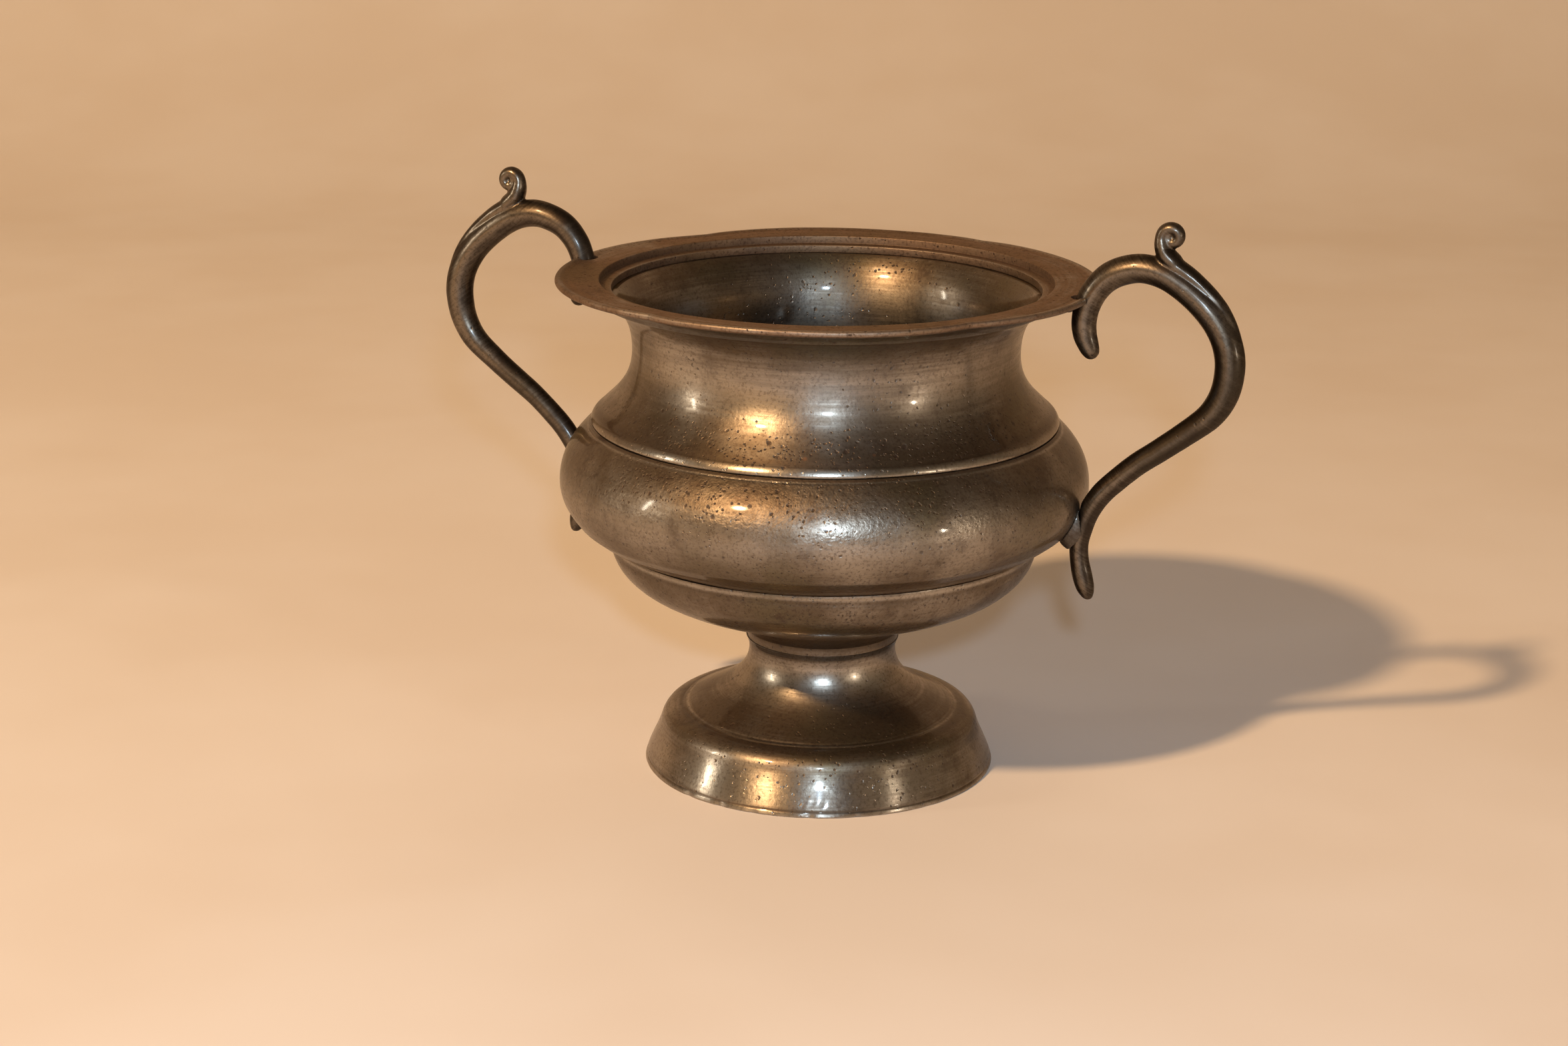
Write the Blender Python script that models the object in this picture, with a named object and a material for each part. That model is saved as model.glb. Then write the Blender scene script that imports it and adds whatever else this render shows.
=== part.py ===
"""A footed pewter sugar bowl with two scroll handles, built up from its cast and turned pieces.

Metres, +Z up. The origin is the centre of the foot's resting plane, and +X runs through one handle.
Each turned piece is an outline in (radius, height) spun about Z.
"""

import math

import bmesh
import bpy
from mathutils import Matrix, Vector
from mathutils.geometry import interpolate_bezier

# How finely round shapes are cut
SEGMENTS = 48
CURVE_STEPS = 6
BAR_SIDES = 10
BAR_STEPS = 2
SHARP_ANGLE = math.radians(40)
MERGE_DISTANCE = 1e-6

# Fits
GAP = 0.0003
WALL = 0.0020

# Foot
FOOT_RADIUS = 0.0445
FOOT_HEIGHT = 0.0330
BASE_BAND = 0.0012
BASE_TUCK = 0.0003
SKIRT_LEAN = 0.0041
SKIRT_HEIGHT = 0.0106
DOME_RADIUS = 0.0343
DOME_HEIGHT = 0.0147
STEM_RADIUS = 0.0186
STEM_FLARE = 0.0012
STEM_STRAIGHT = 0.0030

# Bowl, from the foot up
BOTTOM_RISE = 0.0267
BELLY_RISE = 0.0296
NECK_RISE = 0.0317
STEP_RADIUS = 0.0538
BELLY_RADIUS = 0.0662
BELLY_WAIST = 0.0145
SEAM_RADIUS = 0.0582
BEAD_HEIGHT = 0.0024
BEAD_DEPTH = 0.0009
BEAD_SETBACK = 0.0004
BEAD_LEAN = 0.0008
NECK_RADIUS = 0.0481
NECK_WAIST = 0.0180
FLOOR_THICKNESS = 0.0022
DIMPLE_RADIUS = 0.0016
DIMPLE_DEPTH = 0.0005

# Brim
BRIM_THICKNESS = 0.0040
BRIM_EDGE = 0.0012
BRIM_CUSP_RADIUS = 0.0648
BRIM_EAR_BULGE = 0.0020
BRIM_SIDE_BULGE = 0.0024
BRIM_EAR_SPREAD = math.radians(55.5)
BRIM_TURN = math.radians(15.5)
MOUTH_RADIUS = 0.0530
MOUTH_WALL = 0.0032
LID_SEAT_WIDTH = 0.0030
LID_SEAT_DEPTH = 0.0020
LIP_HEIGHT = 0.0005
LIP_WIDTH = 0.0010
EDGE_ROUNDING = 0.0006
SEAT_FILLET = 0.0004
UNDERSIDE_SLOPE = 0.0004
UNDERSIDE_MARGIN = 0.0012

# Handles
HANDLE_SPREAD = 0.0430
HANDLE_THICKNESS = 0.0074
HANDLE_FLATNESS = 0.92
HANDLE_TAIL_THICKNESS = 0.0062
HANDLE_TAIL_SWELL = 1.06
HANDLE_NOTCH = 0.0044
NOTCH_CUTTER_LENGTH = 0.0200
VOLUTE_RADIUS = 0.0035
VOLUTE_WIDTH = 0.0048
VOLUTE_RISE = 0.0173
VOLUTE_PLACE = 0.567
VOLUTE_EDGE = 0.0009
STRAND_THICKNESS = 0.0036
STRAND_START = 0.505
STRAND_END = 0.355
STRAND_TIP = 0.35
STRAND_SINK = 0.0006
STRAND_RISE = 0.0010
RIGHT_HANDLE_LIFT = -0.0010
LEFT_HANDLE_LIFT = 0.0010

# Solder
RING_SIZE = 0.0014
LUG_DROP = 0.0046
LUG_SINK = 0.0008
LUG_HALF_HEIGHT = 0.0060
LUG_HALF_WIDTH = 0.0046
LUG_HALF_DEPTH = 0.0042
UPPER_FILLET = 0.0020
UPPER_FILLET_WIDTH = 0.0050

# How each outline's curve leaves its lower end and meets its upper one: (outwards, upwards) from that end
SKIRT_LEAVE, SKIRT_MEET = (-0.0010, 0.0031), (0.0035, -0.0002)
DOME_LEAVE, DOME_MEET = (-0.0078, 0.0041), (0.0, -0.0080)
BOTTOM_LEAVE, BOTTOM_MEET = (0.0095, 0.0096), (-0.0002, -0.0160)
BELLY_LEAVE, BELLY_MEET = (0.0034, 0.0016), (0.0, -0.0084)
UPPER_BELLY_LEAVE, UPPER_BELLY_MEET = (0.0, 0.0068), (0.0043, -0.0036)
SHOULDER_LEAVE, SHOULDER_MEET = (-0.0026, 0.0029), (0.0, -0.0090)
NECK_LEAVE, NECK_MEET = (0.0, 0.0062), (-0.0061, -0.0022)

# Heights and radii that follow from the sizes above
STEP_HEIGHT = FOOT_HEIGHT + BOTTOM_RISE
BELLY_HEIGHT = STEP_HEIGHT + BELLY_WAIST
SEAM_HEIGHT = STEP_HEIGHT + BELLY_RISE
NECK_TOP = SEAM_HEIGHT + NECK_RISE
BRIM_TOP = NECK_TOP + BRIM_THICKNESS
BRIM_RADIUS = BRIM_CUSP_RADIUS + BRIM_EAR_BULGE
NECK_FLARE = MOUTH_RADIUS + MOUTH_WALL
LID_SEAT_RADIUS = MOUTH_RADIUS + LID_SEAT_WIDTH
HANDLE_SEAT_RADIUS = BRIM_RADIUS - HANDLE_NOTCH
HANDLE_REACH = HANDLE_SEAT_RADIUS + HANDLE_SPREAD


# Outlines


def curve(start, leave, meet, end):
    """Points of one cubic curve in the (radius, height) plane, both ends included."""
    first, last = Vector((start[0], 0.0, start[1])), Vector((end[0], 0.0, end[1]))
    knots = [first, first + Vector((leave[0], 0.0, leave[1])), last + Vector((meet[0], 0.0, meet[1])), last]
    return [(point.x, point.z) for point in interpolate_bezier(*knots, CURVE_STEPS + 1)]


def offset(points, distance):
    """An open line moved sideways, to its left where it rises."""
    moved = []
    for index, (radius, height) in enumerate(points):
        before = Vector(points[max(index - 1, 0)])
        after = Vector(points[min(index + 1, len(points) - 1)])
        along = (after - before).normalized()
        moved.append((radius - along.y * distance, height + along.x * distance))
    return moved


def end_at(points, height):
    """A line with its last point moved along the line to a height, and what lies past it dropped."""
    kept = list(points)
    rising = 1.0 if kept[-1][1] > kept[0][1] else -1.0
    while len(kept) > 2 and (kept[-2][1] - height) * rising >= 0.0:
        kept.pop()
    near, far = Vector(kept[-2]), Vector(kept[-1])
    share = (height - near.y) / (far.y - near.y)
    return kept[:-1] + [tuple(near.lerp(far, share))]


def inner_wall(outer, bottom, top):
    """The inside line of a wall, from its top edge down to its bottom edge, which is one wall wide."""
    inside = end_at(offset(outer, WALL), top)[::-1]
    if inside[-1][1] <= bottom:
        return end_at(inside, bottom)
    return inside + [(outer[0][0] - WALL, bottom)]


def foot_outline():
    """The outside of the foot, rising from the resting plane to the stem's top edge."""
    skirt_base = (FOOT_RADIUS - BASE_TUCK, BASE_BAND + BASE_TUCK)
    skirt_top = (FOOT_RADIUS - SKIRT_LEAN, SKIRT_HEIGHT)
    dome_edge = (DOME_RADIUS, DOME_HEIGHT)
    shoulder = curve(skirt_top, SKIRT_LEAVE, SKIRT_MEET, dome_edge)
    stem_foot = (STEM_RADIUS, FOOT_HEIGHT - STEM_STRAIGHT)
    dome = curve(dome_edge, DOME_LEAVE, DOME_MEET, stem_foot)
    stem_top = (STEM_RADIUS + STEM_FLARE / 2, FOOT_HEIGHT - GAP)
    return [(FOOT_RADIUS, 0.0), (FOOT_RADIUS, BASE_BAND), skirt_base, *shoulder, *dome[1:], stem_top]


def bottom_outline():
    """The outside of the lower bowl, rising from the stem to the step."""
    start = (STEM_RADIUS + STEM_FLARE, FOOT_HEIGHT)
    end = (STEP_RADIUS, STEP_HEIGHT - GAP / 2)
    return curve(start, BOTTOM_LEAVE, BOTTOM_MEET, end)


def belly_outline():
    """The outside of the belly, rising from the step to the bead."""
    start = (STEP_RADIUS, STEP_HEIGHT + GAP / 2)
    widest = (BELLY_RADIUS, BELLY_HEIGHT)
    end = (SEAM_RADIUS, SEAM_HEIGHT - GAP / 2)
    lower = curve(start, BELLY_LEAVE, BELLY_MEET, widest)
    upper = curve(widest, UPPER_BELLY_LEAVE, UPPER_BELLY_MEET, end)
    return lower + upper[1:]


def neck_outline():
    """The outside of the shoulder and neck, rising from the bead to the brim."""
    foot = (SEAM_RADIUS - BEAD_SETBACK, SEAM_HEIGHT + GAP / 2)
    bead_top = (foot[0] - BEAD_LEAN, foot[1] + BEAD_HEIGHT)
    middle = (foot[0] + bead_top[0]) / 2 + BEAD_DEPTH
    bead = [foot, (middle, foot[1] + BEAD_HEIGHT * 0.3), (middle, foot[1] + BEAD_HEIGHT * 0.7), bead_top]
    waist = (NECK_RADIUS, SEAM_HEIGHT + NECK_WAIST)
    top = (NECK_FLARE, NECK_TOP - GAP / 2)
    shoulder = curve(bead_top, SHOULDER_LEAVE, SHOULDER_MEET, waist)
    upper = curve(waist, NECK_LEAVE, NECK_MEET, top)
    return bead + shoulder[1:] + upper[1:]


def brim_profile():
    """The closed section of the brim: flat top, raised lip, edge, underside and lid seat."""
    edge = BRIM_RADIUS
    under = BRIM_TOP - BRIM_EDGE
    low = NECK_TOP + GAP / 2
    seat = BRIM_TOP - LID_SEAT_DEPTH
    return [
        (LID_SEAT_RADIUS, BRIM_TOP),
        (edge - 1.6 * LIP_WIDTH, BRIM_TOP),
        (edge - LIP_WIDTH, BRIM_TOP + LIP_HEIGHT),
        (edge - 0.3 * LIP_WIDTH, BRIM_TOP + LIP_HEIGHT),
        (edge, BRIM_TOP),
        (edge, under + EDGE_ROUNDING),
        (edge - EDGE_ROUNDING, under),
        (NECK_FLARE + UNDERSIDE_MARGIN, under - UNDERSIDE_SLOPE),
        (NECK_FLARE, low),
        (MOUTH_RADIUS, low),
        (MOUTH_RADIUS, seat),
        (LID_SEAT_RADIUS - SEAT_FILLET, seat),
        (LID_SEAT_RADIUS, seat + SEAT_FILLET),
    ]


def brim_underside():
    """Height of the lowest point of the brim's plate, beside the neck."""
    return BRIM_TOP - BRIM_EDGE - UNDERSIDE_SLOPE


def brim_radius(angle):
    """Radius of the brim's edge at an angle: two ears and two side lobes that meet in soft cusps."""
    quarter = math.pi / 2
    from_ear = abs((angle - BRIM_TURN + quarter) % math.pi - quarter)
    if from_ear < BRIM_EAR_SPREAD:
        across = from_ear / BRIM_EAR_SPREAD
        bulge = BRIM_EAR_BULGE
    else:
        across = (quarter - from_ear) / (quarter - BRIM_EAR_SPREAD)
        bulge = BRIM_SIDE_BULGE
    return BRIM_CUSP_RADIUS + bulge * (1.0 - across**4)


# Shapes


def pewter(name, colour, roughness):
    """A bare metal."""
    material = bpy.data.materials.new(name)
    material.use_nodes = True
    shader = material.node_tree.nodes["Principled BSDF"]
    shader.inputs["Base Color"].default_value = (*colour, 1.0)
    shader.inputs["Metallic"].default_value = 1.0
    shader.inputs["Roughness"].default_value = roughness
    return material


def finish(name, shape, material):
    """An object from a bmesh, with its faces turned outwards and shaded smooth."""
    bmesh.ops.remove_doubles(shape, verts=shape.verts, dist=MERGE_DISTANCE)
    bmesh.ops.recalc_face_normals(shape, faces=shape.faces)
    mesh = bpy.data.meshes.new(name)
    shape.to_mesh(mesh)
    shape.free()
    mesh.shade_smooth()
    mesh.set_sharp_from_angle(angle=SHARP_ANGLE)
    piece = bpy.data.objects.new(name, mesh)
    bpy.context.scene.collection.objects.link(piece)
    piece.data.materials.append(material)
    return piece


def turned(outline, closed):
    """A bmesh spun about Z from an outline, whose two ends lie on the axis where it isn't closed."""
    shape = bmesh.new()
    verts = [shape.verts.new((radius, 0.0, height)) for radius, height in outline]
    ends = verts[1:] + verts[:1] if closed else verts[1:]
    edges = [shape.edges.new(pair) for pair in zip(verts, ends)]
    bmesh.ops.spin(
        shape,
        geom=verts + edges,
        cent=(0.0, 0.0, 0.0),
        axis=(0.0, 0.0, 1.0),
        angle=2 * math.pi,
        steps=SEGMENTS,
        use_merge=True,
    )
    return shape


def helper(piece):
    """Marks a cutter or a part of a union, which isn't a piece by itself."""
    piece.hide_render = True
    piece.display_type = "WIRE"
    return piece


def combine(piece, other, operation):
    """Adds a Boolean modifier."""
    modifier = piece.modifiers.new(f"{operation.title()} {other.name}", "BOOLEAN")
    modifier.operation = operation
    modifier.object = other
    modifier.solver = "EXACT"


def through(keys, steps):
    """A smooth line through key points of any number of values, with some steps between each two."""
    line = []
    for index in range(len(keys) - 1):
        before = keys[max(index - 1, 0)]
        start, end = keys[index], keys[index + 1]
        after = keys[min(index + 2, len(keys) - 1)]
        for step in range(steps):
            t = step / steps
            weights = (
                (-t + 2 * t**2 - t**3) / 2,
                (2 - 5 * t**2 + 3 * t**3) / 2,
                (t + 4 * t**2 - 3 * t**3) / 2,
                (-(t**2) + t**3) / 2,
            )
            values = zip(before, start, end, after)
            line.append(tuple(sum(w * v for w, v in zip(weights, four)) for four in values))
    return line + [keys[-1]]


def swept(stations, flatness):
    """A bmesh bar of oval section along a line in the XZ plane; a station is (x, z, thickness)."""
    shape = bmesh.new()
    loops = []
    for index, (x, z, thickness) in enumerate(stations):
        before = stations[max(index - 1, 0)]
        after = stations[min(index + 1, len(stations) - 1)]
        along = Vector((after[0] - before[0], 0.0, after[1] - before[1])).normalized()
        across = along.cross(Vector((0.0, 1.0, 0.0)))
        frame = Matrix.Identity(4)
        frame.col[0] = (*across * thickness / 2, 0.0)
        frame.col[1] = (0.0, flatness * thickness / 2, 0.0, 0.0)
        frame.col[2] = (*along, 0.0)
        frame.col[3] = (x, 0.0, z, 1.0)
        ring = bmesh.ops.create_circle(shape, segments=BAR_SIDES, radius=1.0, matrix=frame)
        loops.append({edge for vert in ring["verts"] for edge in vert.link_edges})
    for first, second in zip(loops, loops[1:]):
        bmesh.ops.bridge_loops(shape, edges=list(first | second))
    bmesh.ops.contextual_create(shape, geom=list(loops[0]))
    bmesh.ops.contextual_create(shape, geom=list(loops[-1]))
    return shape


# Pieces


def inside_ring(below, above):
    """The closed section of the solder along the inside of a seam, held a gap off both walls."""
    under = inner_wall(below, below[0][1], below[-1][1])
    over = inner_wall(above, above[0][1], above[-1][1])[::-1]
    seam = (under[0][1] + over[0][1]) / 2
    low = end_at(under, seam - RING_SIZE)[-1]
    high = end_at(over, seam + RING_SIZE)[-1]
    face = min(under[0][0], over[0][0]) - 2 * GAP
    return [
        (low[0] - 2 * GAP, low[1]),
        (face, seam),
        (high[0] - 2 * GAP, high[1]),
        (face - RING_SIZE / 2, seam),
    ]


def turned_pieces(metal, solder):
    """The foot, the three bowl sections and the solder rings that join them, each on the axis."""
    outer = foot_outline()
    foot = outer + inner_wall(outer, 0.0, outer[-1][1])
    finish("foot_pedestal", turned(foot, closed=True), metal)

    outer = bottom_outline()
    floor = FOOT_HEIGHT + FLOOR_THICKNESS
    inside = inner_wall(outer, floor, outer[-1][1])
    dimple = [(DIMPLE_RADIUS, floor), (DIMPLE_RADIUS / 2, floor - DIMPLE_DEPTH), (0.0, floor - DIMPLE_DEPTH)]
    dish = [(0.0, FOOT_HEIGHT), *outer, *inside, *dimple]
    finish("bowl_bottom", turned(dish, closed=False), metal)

    for name, outer in (("belly_section", belly_outline()), ("neck_section", neck_outline())):
        shell = outer + inner_wall(outer, outer[0][1], outer[-1][1])
        finish(name, turned(shell, closed=True), metal)

    inside_rings = (
        ("step_solder_ring", bottom_outline(), belly_outline()),
        ("shoulder_solder_ring", belly_outline(), neck_outline()),
    )
    for name, below, above in inside_rings:
        finish(name, turned(inside_ring(below, above), closed=True), solder)

    stem = STEM_RADIUS + STEM_FLARE / 2 + GAP
    stem_ring = [
        (stem, FOOT_HEIGHT - RING_SIZE),
        (stem + RING_SIZE, FOOT_HEIGHT - GAP),
        (stem, FOOT_HEIGHT - GAP),
    ]
    finish("stem_solder_ring", turned(stem_ring, closed=True), solder)

    under = brim_underside() - GAP
    corner = NECK_FLARE + UNDERSIDE_MARGIN + GAP
    brim_ring = [(corner - RING_SIZE / 2, NECK_TOP - GAP), (corner + RING_SIZE, under), (corner, under)]
    finish("brim_solder_ring", turned(brim_ring, closed=True), solder)


def brim_piece(metal, seats):
    """The brim, spun round and then drawn out to its lobed edge, with a notch for each handle."""
    shape = turned(brim_profile(), closed=True)
    for vert in shape.verts:
        flat = Vector((vert.co.x, vert.co.y))
        radius = flat.length
        if radius <= NECK_FLARE + UNDERSIDE_MARGIN + MERGE_DISTANCE:
            continue
        share = (radius - NECK_FLARE) / (BRIM_RADIUS - NECK_FLARE)
        wanted = radius + share * (brim_radius(math.atan2(flat.y, flat.x)) - BRIM_RADIUS)
        vert.co.x *= wanted / radius
        vert.co.y *= wanted / radius
    brim = finish("brim", shape, metal)
    for seat in seats:
        combine(brim, seat, "DIFFERENCE")


def bar_stations():
    """Stations down the middle of a handle's bar, from the upper tail's tip to the lower tail's."""
    tail = HANDLE_TAIL_THICKNESS
    top = Vector((HANDLE_SEAT_RADIUS + tail / 2, BRIM_TOP))
    reach = Vector((HANDLE_REACH - HANDLE_THICKNESS / 2, BRIM_TOP))
    low = Vector((BELLY_RADIUS, BELLY_HEIGHT))
    upper_tail = [
        (0.0023, -0.0139, 0.22),
        (0.0019, -0.0126, 0.62),
        (0.0012, -0.0106, 0.86),
        (0.0003, -0.0076, 0.96),
        (0.0, -0.0045, 1.0),
        (0.0006, -0.0008, 1.02),
        (0.0024, 0.0032, HANDLE_TAIL_SWELL),
        (0.0056, 0.0067, 1.11),
        (0.0099, 0.0087, 1.13),
    ]
    scroll = [
        (0.39, 1.183, 0.96),
        (0.54, 1.160, 0.97),
        (0.70, 1.095, 0.98),
        (0.85, 1.005, 1.0),
        (0.95, 0.905, 1.0),
        (1.0, 0.797, 1.0),
        (0.998, 0.690, 0.98),
        (0.958, 0.593, 0.94),
        (0.873, 0.504, 0.88),
        (0.717, 0.412, 0.81),
        (0.547, 0.323, 0.77),
        (0.40, 0.248, 0.76),
    ]
    lower_tail = [
        (0.0093, 0.0084, 0.90),
        (0.0053, 0.0042, 0.90),
        (0.0023, -0.0006, 0.87),
        (0.0008, -0.0052, 0.82),
        (0.0001, -0.0092, 0.77),
        (0.0004, -0.0132, 0.76),
        (0.0012, -0.0167, 0.80),
        (0.0021, -0.0199, 0.70),
        (0.0027, -0.0216, 0.48),
        (0.0030, -0.0224, 0.18),
    ]
    keys = [(top.x + x, top.y + z, share * tail) for x, z, share in upper_tail]
    for across, up, share in scroll:
        x = low.x + across * (reach.x - low.x)
        z = low.y + up * (reach.y - low.y)
        keys.append((x, z, share * HANDLE_THICKNESS))
    keys += [(low.x + x, low.y + z, share * tail) for x, z, share in lower_tail]
    return through(keys, BAR_STEPS)


def volute_centre():
    """Middle of the scroll's eye, above the arch of the bar."""
    reach = HANDLE_REACH - HANDLE_THICKNESS / 2
    return (BELLY_RADIUS + VOLUTE_PLACE * (reach - BELLY_RADIUS), BRIM_TOP + VOLUTE_RISE)


def strand_stations(bar):
    """Stations of the raised strand that climbs the bar's back and rises into the volute."""
    first = round(STRAND_START * (len(bar) - 1))
    last = round(STRAND_END * (len(bar) - 1))
    keys = []
    for index in range(first, last - 1, -1):
        share = (first - index) / (first - last)
        before, after = Vector(bar[index - 1][:2]), Vector(bar[index + 1][:2])
        along = (after - before).normalized()
        outwards = Vector((-along.y, along.x))
        lift = bar[index][2] / 2 + share * STRAND_RISE - STRAND_SINK
        middle = Vector(bar[index][:2]) + outwards * lift
        keys.append((middle.x, middle.y, STRAND_THICKNESS * (STRAND_TIP + (1.0 - STRAND_TIP) * share)))
    x, z = volute_centre()
    stem = [
        (x - 0.06 * VOLUTE_RADIUS, z - 1.20 * VOLUTE_RADIUS, STRAND_THICKNESS),
        (x - 0.34 * VOLUTE_RADIUS, z - 0.50 * VOLUTE_RADIUS, STRAND_THICKNESS),
    ]
    return keys + stem


def volute_head():
    """The round of the volute, a disc across the bar with softened edges."""
    x, z = volute_centre()
    shape = bmesh.new()
    bmesh.ops.create_cone(
        shape,
        cap_ends=True,
        segments=2 * BAR_SIDES,
        radius1=VOLUTE_RADIUS,
        radius2=VOLUTE_RADIUS,
        depth=VOLUTE_WIDTH,
        matrix=Matrix.Translation((x, 0.0, z)) @ Matrix.Rotation(math.pi / 2, 4, "X"),
    )
    rims = [edge for edge in shape.edges if any(len(face.verts) > 4 for face in edge.link_faces)]
    bmesh.ops.bevel(
        shape, geom=rims, offset=VOLUTE_EDGE, segments=1, profile=0.5, affect="EDGES", material=-1
    )
    return shape


def belly_clearance(metal):
    """A solid of the belly's outside plus the gap that a handle keeps to it."""
    outer = offset(belly_outline(), -GAP)
    column = [(0.0, outer[0][1]), *outer, (0.0, outer[-1][1])]
    return helper(finish("belly_clearance", turned(column, closed=False), metal))


def handle_seat(side, turn, metal):
    """The cutter for the notch in the brim where a handle's upper tail passes."""
    radius = HANDLE_TAIL_THICKNESS * HANDLE_TAIL_SWELL / 2 + 2 * GAP
    shape = bmesh.new()
    middle = HANDLE_SEAT_RADIUS - GAP + radius
    bmesh.ops.create_cone(
        shape,
        cap_ends=True,
        segments=2 * BAR_SIDES,
        radius1=radius,
        radius2=radius,
        depth=NOTCH_CUTTER_LENGTH,
        matrix=Matrix.Translation((middle, 0.0, BRIM_TOP)),
    )
    seat = helper(finish(f"handle_seat_{side}", shape, metal))
    seat.rotation_euler.z = turn
    return seat


def handle(side, turn, lift, clearance, metal, solder):
    """One cast handle, with its strand and volute, and the solder at both of its ends."""
    bar = bar_stations()
    pieces = [finish(f"handle_{side}", swept(bar, HANDLE_FLATNESS), metal)]
    pieces.append(helper(finish(f"strand_{side}", swept(strand_stations(bar), 1.0), metal)))
    pieces.append(helper(finish(f"volute_{side}", volute_head(), metal)))
    combine(pieces[0], pieces[1], "UNION")
    combine(pieces[0], pieces[2], "UNION")
    combine(pieces[0], clearance, "DIFFERENCE")
    for piece in pieces:
        piece.location.z = lift

    wide = [(x, z, thickness + 2 * GAP) for x, z, thickness in bar]
    groove = helper(finish(f"handle_groove_{side}", swept(wide, HANDLE_FLATNESS), metal))
    groove.location.z = lift
    shape = bmesh.new()
    low_middle = Vector((BELLY_RADIUS - LUG_SINK, 0.0, BELLY_HEIGHT + lift - LUG_DROP))
    size = Matrix.Diagonal((LUG_HALF_DEPTH, LUG_HALF_WIDTH, LUG_HALF_HEIGHT, 1.0))
    bmesh.ops.create_uvsphere(
        shape, u_segments=16, v_segments=10, radius=1.0, matrix=Matrix.Translation(low_middle) @ size
    )
    lug = finish(f"lower_solder_{side}", shape, solder)
    combine(lug, clearance, "DIFFERENCE")
    combine(lug, groove, "DIFFERENCE")

    face = HANDLE_SEAT_RADIUS - GAP
    under = brim_underside() - GAP
    shape = bmesh.new()
    wedge = [(face, under), (face - UPPER_FILLET, under), (face, under - UPPER_FILLET)]
    verts = [shape.verts.new((x, -UPPER_FILLET_WIDTH / 2, z)) for x, z in wedge]
    start = shape.faces.new(verts)
    grown = bmesh.ops.extrude_face_region(shape, geom=[start])["geom"]
    moved = [item for item in grown if isinstance(item, bmesh.types.BMVert)]
    bmesh.ops.translate(shape, verts=moved, vec=(0.0, UPPER_FILLET_WIDTH, 0.0))
    fillet = finish(f"upper_solder_{side}", shape, solder)
    for piece in (*pieces, groove, lug, fillet):
        piece.rotation_euler.z = turn


def main():
    for thing in list(bpy.data.objects):
        bpy.data.objects.remove(thing)
    body_metal = pewter("worn_pewter", (0.30, 0.25, 0.20), 0.34)
    brim_metal = pewter("dull_pewter", (0.20, 0.15, 0.11), 0.50)
    handle_metal = pewter("dark_pewter", (0.12, 0.09, 0.07), 0.36)
    solder = pewter("solder", (0.36, 0.32, 0.27), 0.42)
    turned_pieces(body_metal, solder)
    clearance = belly_clearance(body_metal)
    seats = []
    for side, turn, lift in (("right", 0.0, RIGHT_HANDLE_LIFT), ("left", math.pi, LEFT_HANDLE_LIFT)):
        handle(side, turn, lift, clearance, handle_metal, solder)
        seats.append(handle_seat(side, turn, brim_metal))
    brim_piece(brim_metal, seats)


main()
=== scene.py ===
"""An old footed pewter sugar bowl with two scroll handles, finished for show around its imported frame.

Metres, +Z up, in the frame's own axes: the foot rests on z = 0 and one handle points along +X. A turned
piece is an outline in (radius, height), spun about Z and then given the unevenness of hand-worked metal.
"""

import enum
import logging
import math
from collections.abc import Callable, Iterable, Sequence
from dataclasses import dataclass

import bmesh
import bpy
from mathutils import Matrix, Vector, noise
from mathutils.geometry import interpolate_bezier


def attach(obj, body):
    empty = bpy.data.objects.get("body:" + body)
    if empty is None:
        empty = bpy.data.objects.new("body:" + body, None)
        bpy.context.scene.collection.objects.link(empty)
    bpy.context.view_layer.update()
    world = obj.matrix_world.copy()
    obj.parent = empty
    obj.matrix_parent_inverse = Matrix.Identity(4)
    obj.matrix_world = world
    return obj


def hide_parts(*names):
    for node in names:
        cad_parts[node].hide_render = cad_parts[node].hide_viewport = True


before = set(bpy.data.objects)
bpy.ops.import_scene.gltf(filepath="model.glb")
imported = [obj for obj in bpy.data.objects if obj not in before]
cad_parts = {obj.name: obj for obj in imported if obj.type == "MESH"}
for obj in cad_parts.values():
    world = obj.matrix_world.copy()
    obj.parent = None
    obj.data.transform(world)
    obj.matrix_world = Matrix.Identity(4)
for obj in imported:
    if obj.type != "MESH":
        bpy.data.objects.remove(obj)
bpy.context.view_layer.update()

Point = tuple[float, float]
Colour = tuple[float, float, float]
Station = tuple[float, float, float]

BODY = "root"
MM = 0.001
WALL = 2.0 * MM

# The room between pieces that only meet through solder, and the hairline where two turned pieces meet
GAP = 0.3 * MM
SEAM = 0.06 * MM

# How finely the shapes are drawn
TURN_STEPS = 384
DOUBLINGS = 4
CURVE_STEPS = 24
COARSE_STEP = 0.9 * MM
FINE_STEP = 0.16 * MM
INSIDE_STEP = 1.1 * MM
MERGE_DISTANCE = 1e-6
SHARP_ANGLE = math.radians(38)
ARRIS_ANGLE = math.radians(24)

CAMERA_AZIMUTH = math.radians(20)

log = logging.getLogger("sugar_bowl")


class Slot(enum.Enum):
    """The record's material slots."""

    BODY = "body_pewter"
    BRIM = "brim_pewter"
    HANDLE = "handle_pewter"
    SOLDER = "solder"


class Side(enum.Enum):
    """The two handles, each with its turn about the axis."""

    RIGHT = 0.0
    LEFT = math.pi


# Outlines


def fade(distance: float, width: float) -> float:
    """1 at a place, falling off round it to nothing."""
    return math.exp(-((distance / width) ** 2))


@dataclass(frozen=True)
class Line:
    """A fine line worked round a turned piece, raised where its rise is positive and cut where it isn't."""

    at: Point
    rise: float
    width: float

    def share(self, point: Sequence[float]) -> float:
        """How strongly a point of the outline belongs to this line, from 0 to 1."""
        return fade(math.dist(self.at, point), self.width)


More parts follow.
